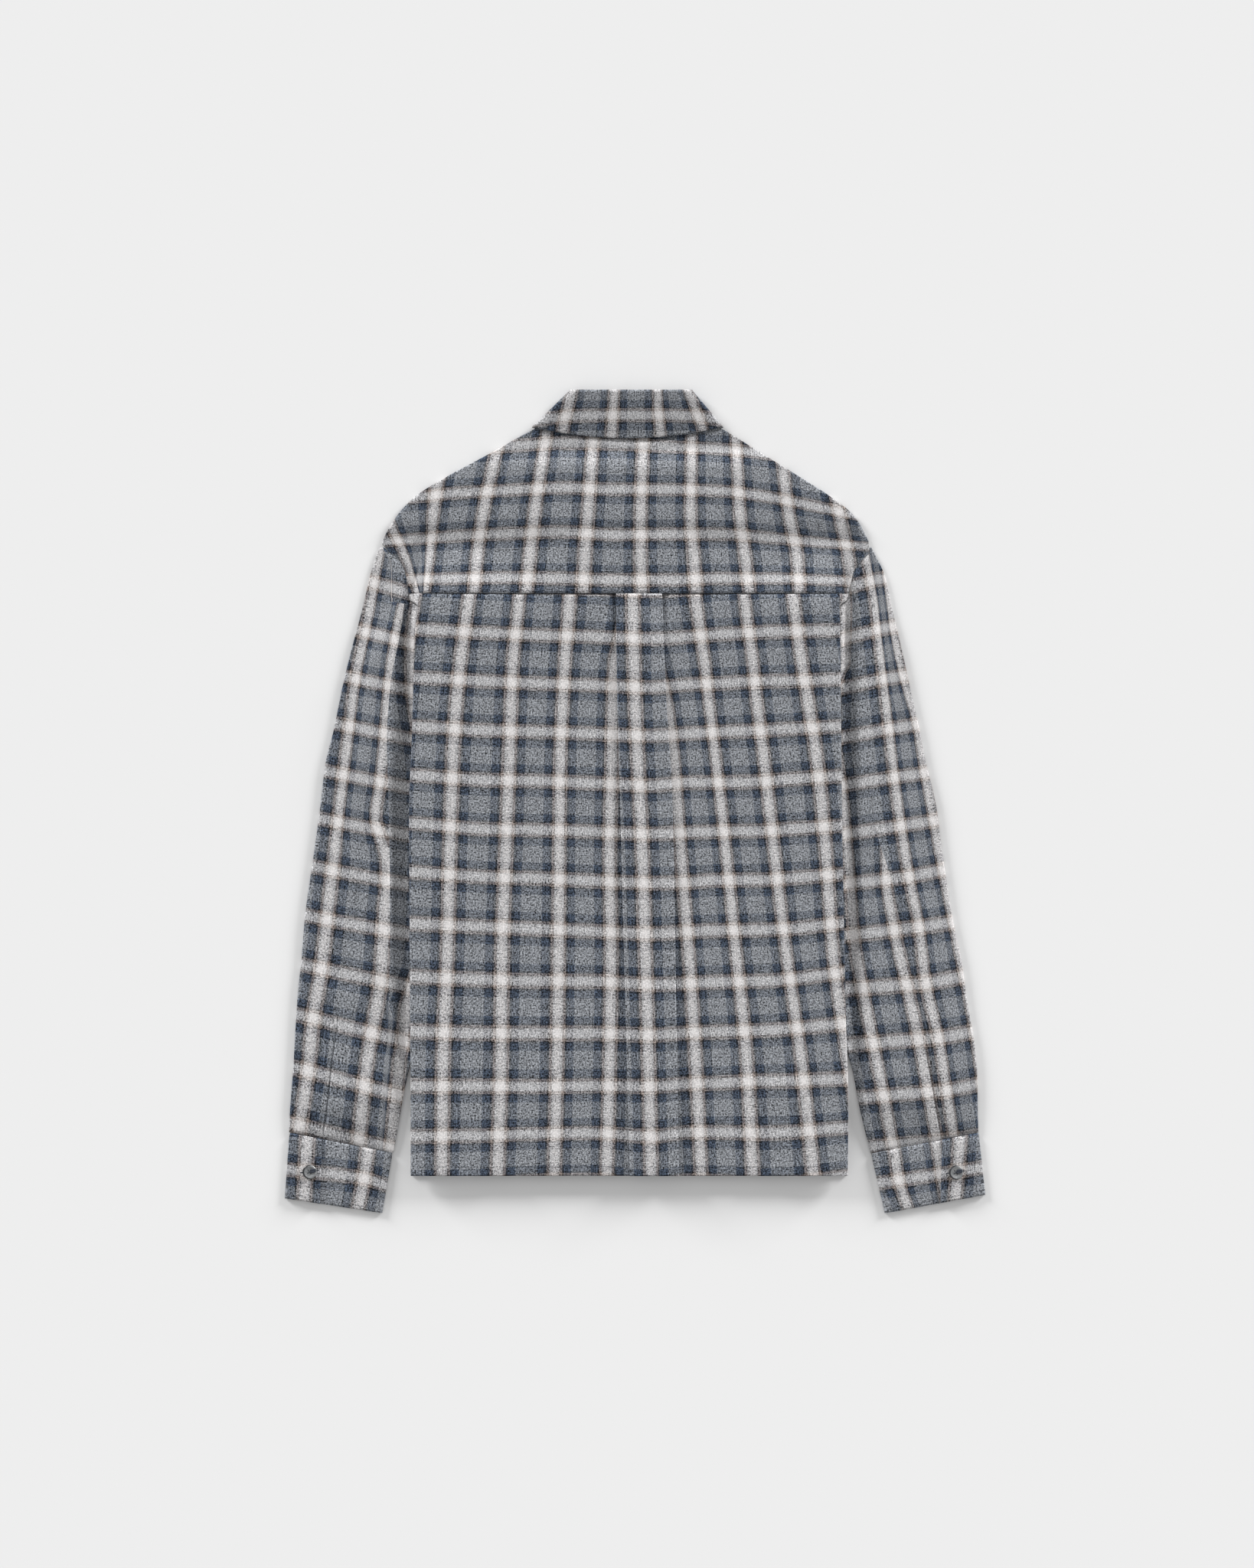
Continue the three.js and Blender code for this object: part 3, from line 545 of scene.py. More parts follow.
YOKE_CREASES = ARMHOLE_CREASES + [
    ([(-105, 364), (-90, 366), (-56, 360.5), (-8, 356), (13, 356), (52, 360), (86, 366.5)], -3.4, 1.7),
    ([(-96, 358), (-56, 354), (-8, 349.5), (13, 349.5), (52, 353.5), (84, 360)], 0.9, 4),
    ([(-205, 262), (-213, 240), (-216, 220), (-215, 204)], -4.6, 5),
    ([(207, 262), (209, 240), (206, 220), (203, 204)], -3.2, 4),
    ([(-150, 330), (-190, 292), (-214, 262)], 0.8, 9),
    ([(120, 322), (160, 300), (186, 268)], 0.7, 8),
    ([(-60, 352), (-40, 330), (-30, 300)], -0.5, 12),
    ([(70, 350), (56, 322), (50, 290)], -0.5, 12),
    ([(-180, 240), (-150, 236), (-120, 238)], 0.4, 9),
    ([(90, 244), (130, 240), (170, 246)], 0.4, 9),
]
YOKE_ROWS = 62
yoke_height = creased(back_height, YOKE_CREASES)


def neckline(y):
    part = np.clip((NECK_POINT_Y - y) / FRONT_NECK_DROP, 0, 1)
    return NECK_HALF_WIDTH * np.sqrt(1 - part * part)


def yoke_return_end(side, y):
    out = out_of(side)
    neck = neckline(y) + NECK_CENTRE * out
    return out * max(neck + 0.5, abs(OUTLINE[side](y)) - YOKE_RETURN(y))


def yoke_tail(side, y, row_y):
    """One end of a yoke row: over the shoulder and back under it, or on to the armhole seam."""
    out = out_of(side)
    edge = float(OUTLINE[side](y))
    gap = float(yoke_height(edge, y) - front_height(edge, y))
    over_start = turn_start(edge, out, gap)
    over = run([over_start], row_y, yoke_height)
    end = out * min(abs(yoke_return_end(side, y)), abs(over_start) - 0.5)
    under = run(np.linspace(over_start, end, 12), row_y, front_height, 0)
    around = np.vstack([turn(over[0], under[0], out), under])
    seam = float(ARMHOLE[side](y)) - out * SEAM_GAP
    plain_start = seam - out * 3
    plain = run(np.linspace(plain_start, seam, 20)[1:], row_y, yoke_height, 0)
    share = float(ease(y, 249, 254))
    return plain_start + (over_start - plain_start) * share, plain + (around - plain) * share


yoke_rows = []
for y in np.concatenate([[YOKE_SEAM_Y + SEAM_GAP / 2], np.linspace(YOKE_SEAM_Y + 2.5, NECK_POINT_Y, YOKE_ROWS)]):
    drop = 3 * float(np.clip((y - YOKE_SEAM_Y) / (NECK_POINT_Y - YOKE_SEAM_Y), 0, 1))

    def yoke_row_y(x, y=y, drop=drop):
        x = np.asarray(x, float)
        return y - drop * np.maximum(0, 1 - ((x - NECK_CENTRE) / NECK_HALF_WIDTH) ** 2)
    left_start, left_tail = yoke_tail("left", y, yoke_row_y)
    right_start, right_tail = yoke_tail("right", y, yoke_row_y)
    dense = [(float(BODY_EDGE["left"](y)) - 2, 7, 3), (float(BODY_EDGE["right"](y)) + 2, 7, 3)]
    middle = run(spaced(left_start, right_start, 150, dense), yoke_row_y, yoke_height)
    yoke_rows.append(np.vstack([left_tail[::-1], middle, right_tail]))
yoke = make_cloth("yoke_cloth", yoke_rows, [YOKE_CHART])
yoke.data.materials.append(FLANNEL)
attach(yoke, "root")
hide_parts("yoke")

# The back: one panel with a box pleat under the yoke, its sides turned under and sewn to
# the fronts, its hem cut straight and turned up once.
BACK_BARS = level_bars([-200.6, -145.9, -93.4, -43.1, 16.1, 52.9, 80.6, 125.6, 148.1, 195.4], [
    (0, [168.4, 165.4, 163.1, 161.6, 159.4, 161.6, 163.9, 166.1, 166.9, 167.6]),
    (-1, [121.1, 118.1, 115.9, 114.4, 112.1, 115.1, 115.9, 118.1, 118.1, 119.6]),
    (-2, [73.1, 70.1, 68.6, 67.1, 64.9, 67.1, 68.6, 70.1, 71.6, 73.9]),
    (-3, [25.1, 21.4, 20.6, 18.4, 16.1, 19.1, 19.1, 19.9, 22.1, 25.1]),
    (-4, [-22.1, -26.6, -27.4, -28.9, -31.1, -29.6, -28.9, -28.1, -26.6, -23.6]),
    (-5, [-69.4, -73.1, -74.6, -76.9, -79.1, -78.4, -76.1, -76.1, -74.6, -70.9]),
    (-6, [-119.6, -121.9, -124.1, -126.4, -128.6, -126.4, -125.6, -124.9, -124.1, -118.9]),
    (-7, [-171.4, -173.6, -175.1, -175.1, -178.1, -177.4, -175.9, -175.1, -173.6, -167.6]),
    (-8, [-224.6, -226.1, -226.1, -226.1, -227.6, -225.4, -224.6, -223.1, -221.6, -217.1]),
    (-9, [-277.9, -277.9, -278.6, -277.9, -277.9, -275.6, -274.9, -272.6, -272.6, -271.1]),
    (-10, [-326.6, -325.9, -324.4, -323.6, -326.6, -322.9, -322.9, -323.6, -322.9, -319.1]),
])
BACK_PITCH = 54.0
BACK_CHARTS = [
    Chart([
        (0, [(-346.9, -188.6), (-253.1, -187.9), (-148.1, -183.4), (-50.6, -181.1), (43.1, -178.1),
             (91.9, -175.1), (136.9, -170.6), (181.9, -164.6)]),
        (1, [(-346.9, -133.9), (-253.1, -130.9), (-148.1, -130.1), (-50.6, -126.4), (43.1, -122.6),
             (91.9, -121.1), (136.9, -119.6), (181.9, -115.1)]),
        (2, [(-346.9, -78.4), (-253.1, -76.1), (-148.1, -74.6), (-50.6, -73.9), (43.1, -73.1),
             (91.9, -70.9), (136.9, -68.6), (181.9, -65.6)]),
        (3, [(-346.9, -27.4), (-253.1, -25.1), (-148.1, -23.6), (-50.6, -25.1), (43.1, -22.9),
             (91.9, -22.1), (136.9, -19.9), (163.1, -13.1), (181.9, -10.1)]),
    ], BACK_BARS, BACK_PITCH),
    Chart([
        (4, [(-346.9, 15.4), (-253.1, 13.1), (-148.1, 10.1), (-50.6, 7.1), (43.1, 2.6), (91.9, 0.4),
             (136.9, -1.1), (181.9, -1.9)]),
    ], BACK_BARS, BACK_PITCH),
    Chart([
        (5, [(-346.9, 64.1), (-253.1, 59.6), (-148.1, 52.9), (-50.6, 45.4), (43.1, 38.6), (91.9, 32.6),
             (136.9, 21.4), (163.1, 12.4), (181.9, 7.9)]),
        (6, [(-346.9, 113.6), (-253.1, 109.1), (-148.1, 98.6), (-50.6, 88.9), (43.1, 78.4),
             (91.9, 72.4), (136.9, 67.9), (181.9, 61.9)]),
        (7, [(-346.9, 172.9), (-253.1, 163.1), (-148.1, 148.1), (-50.6, 136.1), (43.1, 125.6),
             (91.9, 119.6), (136.9, 115.1), (181.9, 109.1)]),
        (8, [(-346.9, 223.9), (-253.1, 207.4), (-148.1, 193.1), (-50.6, 186.4), (43.1, 177.4),
             (91.9, 169.9), (136.9, 162.4), (181.9, 156.4)]),
    ], BACK_BARS, BACK_PITCH),
]
PLEAT_LEFT = curve([(204, -18.8), (110, -17.6), (0, -14.6), (-65, -13), (-220, -9), (-366, -5)])
PLEAT_RIGHT = curve([(204, 26.6), (110, 30), (0, 36.4), (-65, 38), (-220, 40.6), (-366, 43)])
PLEAT_LEFT_DEPTH = curve([(204, 22), (110, 20), (0, 17), (-65, 14), (-220, 10.5), (-366, 8)])
PLEAT_RIGHT_DEPTH = curve([(204, 22), (110, 19), (0, 16.5), (-65, 13.5), (-220, 9), (-366, 6)])
BACK_CREASES = ARMHOLE_CREASES + [
    ([(-224, 205.5), (-60, 205.5), (60, 205.5), (212, 205.5)], -2.2, 2.2),
    ([(46, 196), (58, 150), (60, 100), (70, 40)], -0.9, 9),
    ([(-40, 196), (-44, 140), (-42, 80)], -0.5, 10),
    ([(-196, 150), (-180, 80), (-184, -20)], 0.6, 14),
    ([(-120, 20), (-112, -60), (-124, -140)], -0.5, 20),
    ([(110, -30), (128, -110), (134, -200)], -0.6, 18),
    ([(176, 150), (182, 60), (176, -10)], 0.6, 12),
    ([(-60, -200), (-20, -226), (30, -232)], 0.5, 16),
    ([(60, -258), (110, -280), (170, -284)], 0.5, 14),
    ([(-180, -270), (-130, -290), (-80, -292)], 0.5, 15),
    ([(-160, -120), (-170, -200), (-164, -280)], -0.5, 16),
]
BACK_ROWS = 176
back_top = creased(back_height, BACK_CREASES)


def side_tail(side, y, height, return_height, return_count=16):
    """One end of a body row: turned at the side and run back to the side seam, or on to the
    armhole seam."""
    out = out_of(side)
    level = lambda x: np.full(np.shape(x), y, float)
    edge = float(BODY_EDGE[side](y))
    gap = abs(float(height(edge, y)) - float(return_height(edge, y)))
    tucked_start = turn_start(edge, out, gap)
    end = out * min(abs(float(ARMHOLE[side](min(y, FLAP_START_Y)))), abs(tucked_start) - 0.5)
    over = run([tucked_start], level, height)
    under = run(np.linspace(tucked_start, end, return_count), level, return_height, 0)
    around = np.vstack([turn(over[0], under[0], out), under])
    seam = float(ARMHOLE[side](max(y, FLAP_START_Y + 4))) - out * SEAM_GAP
    plain_start = seam - out * 3
    plain = run(np.linspace(plain_start, seam, return_count + 8)[1:], level, height, 0)
    share = float(ease(y, 198, FLAP_START_Y))
    return plain_start + (tucked_start - plain_start) * share, plain + (around - plain) * share


def back_return(x, y):
    return back_top(x, y) - SIDE_FOLD


back_rows = []
for y in np.concatenate([[HEM_Y, HEM_Y + 1.5], np.linspace(HEM_Y + 4, YOKE_SEAM_Y - 3, BACK_ROWS),
                         [YOKE_SEAM_Y - SEAM_GAP / 2]]):
    level = lambda x, y=y: np.full(np.shape(x), y, float)
    left_start, left_tail = side_tail("left", y, back_top, back_return)
    right_start, right_tail = side_tail("right", y, back_top, back_return)
    fold_left, fold_right = float(PLEAT_LEFT(y)), float(PLEAT_RIGHT(y))
    inner_left = fold_left + float(PLEAT_LEFT_DEPTH(y))
    inner_right = fold_right - float(PLEAT_RIGHT_DEPTH(y))
    sink = 2 * LAYER * float(ease(y, YOKE_SEAM_Y - 55, YOKE_SEAM_Y - 3))
    base = float(back_height(NECK_CENTRE, y)) - sink
    middle_height = lambda x, y: np.full(np.shape(x), base + LAYER)
    panel_height = lambda x, y: np.full(np.shape(x), base + 2 * LAYER)
    left_dense = [(float(BODY_EDGE["left"](y)), 6, 3)]
    right_dense = [(float(BODY_EDGE["right"](y)), 6, 3)]

    def sunk(x, y, sink=sink, left=fold_left, right=fold_right):
        return back_top(x, y) - sink * ease(x, left - 9, left + 1) * ease(x, right + 9, right - 1)
    left_base = run(spaced(left_start, turn_start(inner_left, 1, LAYER), 66, left_dense), level, sunk)
    left_base[left_base[:, 0] > fold_left + 1, 3] = 0
    left_middle = run(np.linspace(turn_start(inner_left, 1, LAYER), turn_start(fold_left, -1, LAYER), 6),
                      level, middle_height, 0)
    panel = run(np.linspace(turn_start(fold_left, -1, LAYER), turn_start(fold_right, 1, LAYER), 22),
                level, panel_height, 2)
    right_middle = run(np.linspace(turn_start(fold_right, 1, LAYER), turn_start(inner_right, -1, LAYER), 6),
                       level, middle_height, 0)
    right_base = run(spaced(turn_start(inner_right, -1, LAYER), right_start, 56, right_dense), level, sunk, 3)
    right_base[right_base[:, 0] < fold_right - 1, 3] = 0
    centre = folded(folded(left_middle, panel, -1), right_middle, 1)
    across_row = folded(folded(left_base, centre, 1), right_base, -1)
    back_rows.append(np.vstack([left_tail[::-1], across_row, right_tail]))
back = make_cloth("back_cloth", back_rows, BACK_CHARTS)
back.data.materials.append(FLANNEL)
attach(back, "root")
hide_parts("back_panel")

# The fronts: a left and a right panel, the left lapped over the right where they button.
# Face down they lie under everything, so they are finished plainly.
OVERLAP = 18
FRONT_PITCH = 54.0


def plain_chart(stripe_x, bar_y, pitch, bar_pitch):
    """A regular check on a panel that doesn't show."""
    stripes = [(k, [(-400, stripe_x + k * pitch), (400, stripe_x + k * pitch)]) for k in (0, 1)]
    bars = [(-k, lambda x, y, k=k: bar_y - k * bar_pitch + 0 * x) for k in (0, 1)]
    return Chart(stripes, bars, pitch)


for side in ("left", "right"):
    out = out_of(side)

    def front_top(x, y, side=side):
        lap = LAYER * ease(x, NECK_CENTRE + 44, NECK_CENTRE + 24) if side == "right" else 0
        return front_height(x, y) + lap

    def front_return(x, y):
        return front_height(x, y) + LAYER

    front_rows = []
    heights = np.concatenate([np.linspace(341, 262, 22), np.linspace(258, 180, 30), np.linspace(174, HEM_Y, 92)])
    for y in heights[::-1]:
        level = lambda x, y=y: np.full(np.shape(x), y, float)
        neck = NECK_CENTRE + out * (float(neckline(y)) + 1)
        inner = neck if y > 288 else NECK_CENTRE - out * OVERLAP
        start, tail = side_tail(side, y, front_top, front_return)
        shoulder = float(yoke_return_end(side, y)) - out * 3 * SEAM_GAP
        if y > SHOULDER_POINT_Y:
            start = shoulder - out * 3
            tail = run(np.linspace(start, shoulder, 24)[1:], level, front_top, 0)
        dense = [(NECK_CENTRE + out * 34, 12, 2)]
        main = run(spaced(inner, start, 60, dense), level, front_top)
        row = np.vstack([main, tail])
        front_rows.append(row if side == "left" else row)
    front_rows = front_rows if side == "left" else front_rows[::-1]
    front = make_cloth(f"front_{side}_cloth", front_rows, [plain_chart(NECK_CENTRE, 100.0, FRONT_PITCH, 48.0)])
    front.data.materials.append(FLANNEL)
    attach(front, "root")
    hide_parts(f"front_{side}")

# The sleeves: each one piece of flannel closed by an underarm seam, flattened with the
# shirt. The left one has a deep fold beside the body, and both have a slit above the cuff.
SLEEVE_INNER = two_sides([
    (25, -150, 136), (-100, -178, 168), (-200, -206, 194), (-263, -222, 213), (-300, -229, 220),
    (-345, -237, 231)])
SLEEVE_TILT = curve([(249, 0), (25, 0), (-30, 0.05), (-85, 0.1), (-140, 0.14), (-170, 0.16), (-215, 0.18),
                     (-243, 0.19), (-270, 0.2), (-323.2, 0.198)])
FOLD_EDGE = curve([(249, -224), (197, -226), (188, -226.5), (160, -231), (110, -240), (60, -243), (25, -242),
                   (-30, -240.5), (-85, -240), (-140, -240), (-170, -241), (-195, -242), (-330, -250)])
FOLD_DEPTH = curve([(249, -6), (200, -6), (188, -1), (160, 16), (110, 21), (60, 22), (25, 22), (-30, 21), (-85, 18),
                    (-140, 12), (-170, 6), (-200, -6), (-330, -6)])
FOLD_LIFT = curve([(249, 0), (205, 0), (175, 3), (-140, 3), (-170, 2.2), (-225, 0), (-330, 0)])
SLEEVE_PITCH = 54.0
LEFT_STRIPES = [
    [(0, [(-315.4, -328.1), (-262.1, -319.9), (-212.6, -315.4), (-162.4, -307.1), (-115.1, -301.5),
          (-66.4, -295.9), (-19.1, -289.9), (26.6, -284.6), (74.6, -278.6), (120.4, -272.6), (166.1, -263.2),
          (186.4, -259.1), (214.1, -254.6), (241.9, -249.4)]),
     (1, [(-327.4, -269.6), (-259.9, -262.5), (-227.6, -257.6), (-175.1, -248.6), (-139.1, -246.4),
          (-106.9, -244.9), (-74.6, -242.2), (-58.1, -242.6), (-35.6, -249.4), (-14.6, -254.6), (19.9, -250.1),
          (67.1, -245.6), (114.4, -241.9), (159.4, -235.9), (186.4, -230.2), (211.1, -225.4),
          (230.6, -223.1)])],
    [(2, [(-327.4, -238.1), (-294.4, -234.4), (-253.1, -230.6), (-237.4, -227.6), (-200, -224),
          (-172, -215), (-140, -208), (-54, -206), (20, -207), (71.6, -212), (111.4, -218), (157.9, -218.5),
          (192.4, -213), (230.6, -207)])],
]
RIGHT_STRIPES = [
    [(0, [(-328.9, 313.1), (-282.4, 305.6), (-230.6, 297.4), (-178.9, 285.4), (-121.9, 278.6), (-73.1, 268.9),
          (-20.6, 260.6), (24.4, 254.6), (71.6, 249.4), (120.4, 244.1), (169.1, 238.9), (192.4, 236.6),
          (238.1, 228.4)]),
     (1, [(-328.9, 345.4), (-253.9, 335.6), (-189.4, 325.9), (-155.6, 318.4), (-115.1, 310.1), (-66.4, 300.4),
          (-14.6, 290.6), (29.6, 282.4), (78.4, 274.1), (123.4, 260.6), (169.1, 250.9), (192.4, 247.9),
          (238.1, 241.9)])],
    [(-2, [(-332.6, 252.4), (-288.4, 243.8), (-236.6, 233.6), (-181.9, 223.1), (-129.4, 214.9), (-80.6, 211.9),
           (-33.4, 207.4), (5.6, 202.9), (71.6, 193), (110, 193), (128, 199), (139.1, 206), (192.4, 206),
           (238.1, 204)]),
     (-1, [(-328.9, 294.4), (-283.9, 286.1), (-232.9, 276.8), (-178.9, 265.1), (-123.4, 252.4),
           (-70.9, 244.5), (-19.1, 246), (35.6, 250), (71.6, 251), (139.1, 258), (192.4, 258),
           (238.1, 256)])],
]
# Where the right sleeve's cloth folds over on itself, so that its check jumps
RIGHT_FOLD = curve([
    (-328.9, 303.7), (-283.9, 295.8), (-232.9, 287), (-178.9, 275.2), (-123.4, 264), (-70.9, 249.5),
    (-19.1, 234), (35.6, 229.5), (71.6, 225), (110, 215), (139.1, 211.5), (192.4, 213), (238.1, 208)])


def sloping_bars(stripe, rows):
    """Crosswise stripes of (number, height, slope outside, slope inside) about a lengthwise one."""
    line = curve(stripe)

    def bar(height, inside, outside, side):
        def at(x, y):
            offset = (x - line(y)) * side
            return height - np.where(offset > 0, inside, -outside) * np.abs(offset)
        return at
    side = 1 if stripe[0][1] < 0 else -1
    return [(number, bar(height, inside, outside, side)) for number, height, inside, outside in rows]


LEFT_BARS = sloping_bars(LEFT_STRIPES[0][0][1], [
    (1, 262, 0.27, 0.2), (0, 214.1, 0.27, 0.2), (-1, 166.1, 0.24, 0.2), (-2, 120.4, 0.2, 0.2),
    (-3, 73.9, 0.2, 0.2), (-4, 26.6, 0.19, 0.2), (-5, -19.9, 0.18, 0.2), (-6, -67.1, 0.18, 0.2),
    (-7, -115.1, 0.17, 0.2), (-8, -163.1, 0.2, 0.2), (-9, -211.1, 0.25, 0.2), (-10, -262.9, 0.26, 0.2),
    (-11, -316.9, 0.24, 0.2)])
RIGHT_BARS = sloping_bars(RIGHT_STRIPES[0][0][1], [
    (1, 217, 0.28, 0.17), (0, 169.1, 0.26, 0.17), (-1, 120.4, 0.2, 0.15), (-2, 71.6, 0.18, 0.15),
    (-3, 24.4, 0.15, 0.13), (-4, -22.9, 0.15, 0.15), (-5, -73.1, 0.11, 0.2), (-6, -121.9, 0.12, 0.13),
    (-7, -177.4, 0.07, 0.18), (-8, -230.6, 0.08, 0.15), (-9, -282.4, 0.08, 0.2), (-10, -330.4, 0.08, 0.15)])
LEFT_CREASES = ARMHOLE_CREASES + [
    ([(-232, 150), (-236, 110), (-238, 60), (-237, 20), (-235, -30), (-234, -85), (-236, -140), (-240, -180)],
     -2.6, 4.5),
    ([(-228, 186), (-229, 160), (-224, 100), (-222, 40), (-222, -60), (-224, -160)], -1.5, 5),
    ([(-262, 6), (-265, -33), (-268, -75), (-273, -123), (-279, -164), (-290, -206)], -0.9, 4),
    ([(-276, -120), (-266, -165), (-262, -205)], 1.2, 7),
    ([(-290, -206), (-296.5, -252), (-302, -304), (-306.5, -330)], -2.2, 1.5),
    ([(-338.5, -322.5), (-237.5, -342.5)], -1.5, 2.2),
    ([(-250, 200), (-252, 150), (-258, 90), (-262, 20)], 0.8, 6),
    ([(-236, -236), (-226, -268), (-228, -300)], 1.6, 4),
    ([(-246, -210), (-238, -250), (-240, -292)], -1.0, 5),
    ([(-320, -180), (-290, -186), (-260, -200)], 0.8, 9),
    ([(-316, -290), (-290, -300), (-262, -318)], 0.7, 8),
    ([(-300, -40), (-285, -60), (-275, -90)], 0.5, 9),
]
RIGHT_CREASES = ARMHOLE_CREASES + [
    ([(205, 186), (208, 120), (209, 40), (210, -60), (214, -140)], -1.5, 5),
    ([(210, 190), (211, 163), (213, 138)], 1.2, 3.5),
    ([(218, 100), (224, 72), (229, 36), (233, -19), (243, -71), (250, -118)], 1.3, 4.5),
    ([(212, 120), (217, 60), (220, 0), (226, -60), (234, -110)], -1.0, 6),
    ([(244, 190), (252, 120), (262, 60), (272, -20), (284, -100)], -0.8, 7),
    ([(284.6, -244), (290, -270), (293.6, -293), (301, -334)], -2.0, 1.5),
    ([(336.5, -322.5), (231, -343.2)], -1.5, 2.2),
    ([(207, -223), (213, -228), (220, -239)], 1.6, 4),
    ([(212, -238), (222, -285), (234, -336)], 1.2, 3),
    ([(270, -190), (278, -220), (285, -246)], 0.8, 5),
    ([(310, -200), (322, -240), (328, -290)], 0.8, 6),
    ([(250, -200), (272, -214), (300, -216)], 0.6, 8),
]
SLEEVE_HEIGHTS = np.concatenate([np.linspace(-323.2, 180, 150), np.linspace(183, 249, 26)])


def left_sleeve_top(y, start, inner, row_y, height):
    """The upper layer of the left sleeve, with the deep fold that tucks cloth back."""
    edge = float(FOLD_EDGE(y))
    if abs(inner) > abs(edge) - 8 or abs(start) < abs(edge) + 8:
        edge = start + 0.55 * (inner - start)
    lift = float(FOLD_LIFT(y))
    depth = float(FOLD_DEPTH(y)) if lift > 0.3 else -min(6.0, 0.2 * (inner - edge))
    top_end = edge - min(LAYER / 2 + CLOTH / 2, lift / 3)
    back_start = top_end - depth
    vent = float(np.interp(y, [-330, -206], [-306.5, -290]))

    def top_height(x, y):
        return height(x, y) + lift * ease(x, min(back_start - 14, top_end - 20), min(back_start + 4, top_end - 2))
    top = run(spaced(start, top_end, 60, [(vent, 5, 3)]), row_y, top_height)
    back_fold = run(np.linspace(top_end, back_start, 6), row_y, lambda x, y: height(x, y) + lift / 2, 0)
    rest = run(spaced(back_start, inner, 40, [(inner, 8, 1)]), row_y, height, 2)
    if depth > 0:
        rest[rest[:, 0] < edge - 1, 3] = 0
    return folded(folded(top, back_fold, 1), rest, -1)


for side, stripes, bars, creases in (("left", LEFT_STRIPES, LEFT_BARS, LEFT_CREASES),
                                     ("right", RIGHT_STRIPES, RIGHT_BARS, RIGHT_CREASES)):
    out = out_of(side)
    over_height = creased(sleeve_over, creases)
    sleeve_rows = []
    for y in SLEEVE_HEIGHTS:
        outer = float(OUTLINE[side](y))
        tilt = max(0.0, float(SLEEVE_TILT(y))) if y < 25 else 0.0

        def row_y(x, y=y, tilt=tilt, outer=outer):
            return y - tilt * np.abs(outer - np.asarray(x, float))
        inner = float(ARMHOLE[side](y)) + out * SEAM_GAP * float(ease(y, 186, 190))
        if y < 25:
            for step in range(4):
                inner = float(SLEEVE_INNER[side](row_y(inner)))
        gap = float(over_height(outer, y) - sleeve_under(outer, y))
        start = turn_start(outer, out, gap)
        lower = run(spaced(inner, start, 60, [(inner, 8, 1)]), row_y, sleeve_under, 0)
        if side == "left":
            top = left_sleeve_top(y, start, inner, row_y, over_height)
            sleeve_rows.append(folded(lower, top, -1))
        else:
            vent = float(np.interp(y, [-334, -244], [301, 284.6]))
            fold = float(RIGHT_FOLD(y - tilt * 60))
            top = run(spaced(inner, start, 104, [(vent, 5, 3), (fold, 5, 5)]), row_y, over_height)
            top[top[:, 0] < RIGHT_FOLD(top[:, 1]), 3] = 2
            sleeve_rows.append(folded(top, lower[::-1], 1))
    sleeve = make_cloth(f"sleeve_{side}_cloth", sleeve_rows,
                        [Chart(each, bars, SLEEVE_PITCH) for each in stripes])
    sleeve.data.materials.append(FLANNEL)
    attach(sleeve, "root")
    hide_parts(f"sleeve_{side}")

# The collar: a leaf of doubled flannel, folded over along the top of its stand and turned
# down, with its points under the fronts. The stand joins it to the neck seam.
COLLAR_TOP_Y = 402.75
COLLAR_TOP = {"left": -61, "right": 53}
COLLAR_SIDE_Y = 366.5
COLLAR_SIDE = {"left": -101, "right": 86.5}
LEAF_CLOTH = 1.1
COLLAR_CHART = Chart([
    (0, [(361.9, -70.9), (370.9, -69.4), (384.4, -65.6), (401.6, -61.1)]),
    (1, [(361.9, -22.9), (384.4, -21.4), (401.6, -20.6)]),
    (2, [(361.1, 25.1), (370.9, 24.4), (384.4, 22.9), (401.6, 22.9)]),
    (3, [(361.1, 66.4), (370.9, 63.4), (384.4, 58.1), (401.6, 50.6)]),
], level_bars([-100, -60, -6, 50, 90], [
    (0, [373.0, 377.6, 378.4, 378.0, 373.0]), (-1, [329, 333.0, 334.0, 333.6, 329])]), 50.0)


def collar_ring(sizes, columns=(26, 60), rows=26):
    """Rows of a band round the neck: a run across the back and two round the front."""
    made = []
    for v in np.linspace(0, 1, rows):
        side_y = sizes["top_y"] + (sizes["bottom_y"] - sizes["top_y"]) * v
        ends = {}
        for side in ("left", "right"):
            out = out_of(side)
            edge = sizes["top"][side] + (sizes["bottom"][side] - sizes["top"][side]) * v
            bend = np.linspace(0, np.pi / 2, columns[0])
            reach = sizes["front_end"](side, v)
            start = edge - out * (sizes["radius"] + CLOTH / 2)
            x = reach[0] + (start - reach[0]) * np.cos(bend)
            y = side_y + (reach[1] - side_y) * np.sin(bend)
            ends[side] = np.column_stack([x, y, sizes["front_height"](x, y), np.zeros(len(x))])
        t = np.linspace(0, 1, columns[1])
        x = ends["left"][0][0] + (ends["right"][0][0] - ends["left"][0][0]) * t
        y = side_y - sizes["back_drop"] * v * (1 - (2 * t - 1) ** 2)
        back_z = sizes["back_height"] + sizes["tilt"] * (1 - v)
        across = np.column_stack([x, y, np.full(len(x), back_z), np.ones(len(x))])
        made.append(folded(folded(ends["left"][::-1], across, -1), ends["right"], 1))
    return made


leaf_rows = collar_ring({
    "top_y": COLLAR_TOP_Y - LAYER / 2, "bottom_y": COLLAR_SIDE_Y, "top": COLLAR_TOP, "bottom": COLLAR_SIDE,
    "front_end": lambda side, v: (NECK_CENTRE + out_of(side) * (6 + 34 * v), 318.75 - 62.75 * v),
    "front_height": lambda x, y: np.full(np.shape(x), FLOOR_LAYER + 0.1),
    "back_height": FLOOR_LAYER + 3 * LAYER + 0.5, "tilt": 6.5, "back_drop": 10.5, "radius": 1.5 * LAYER})
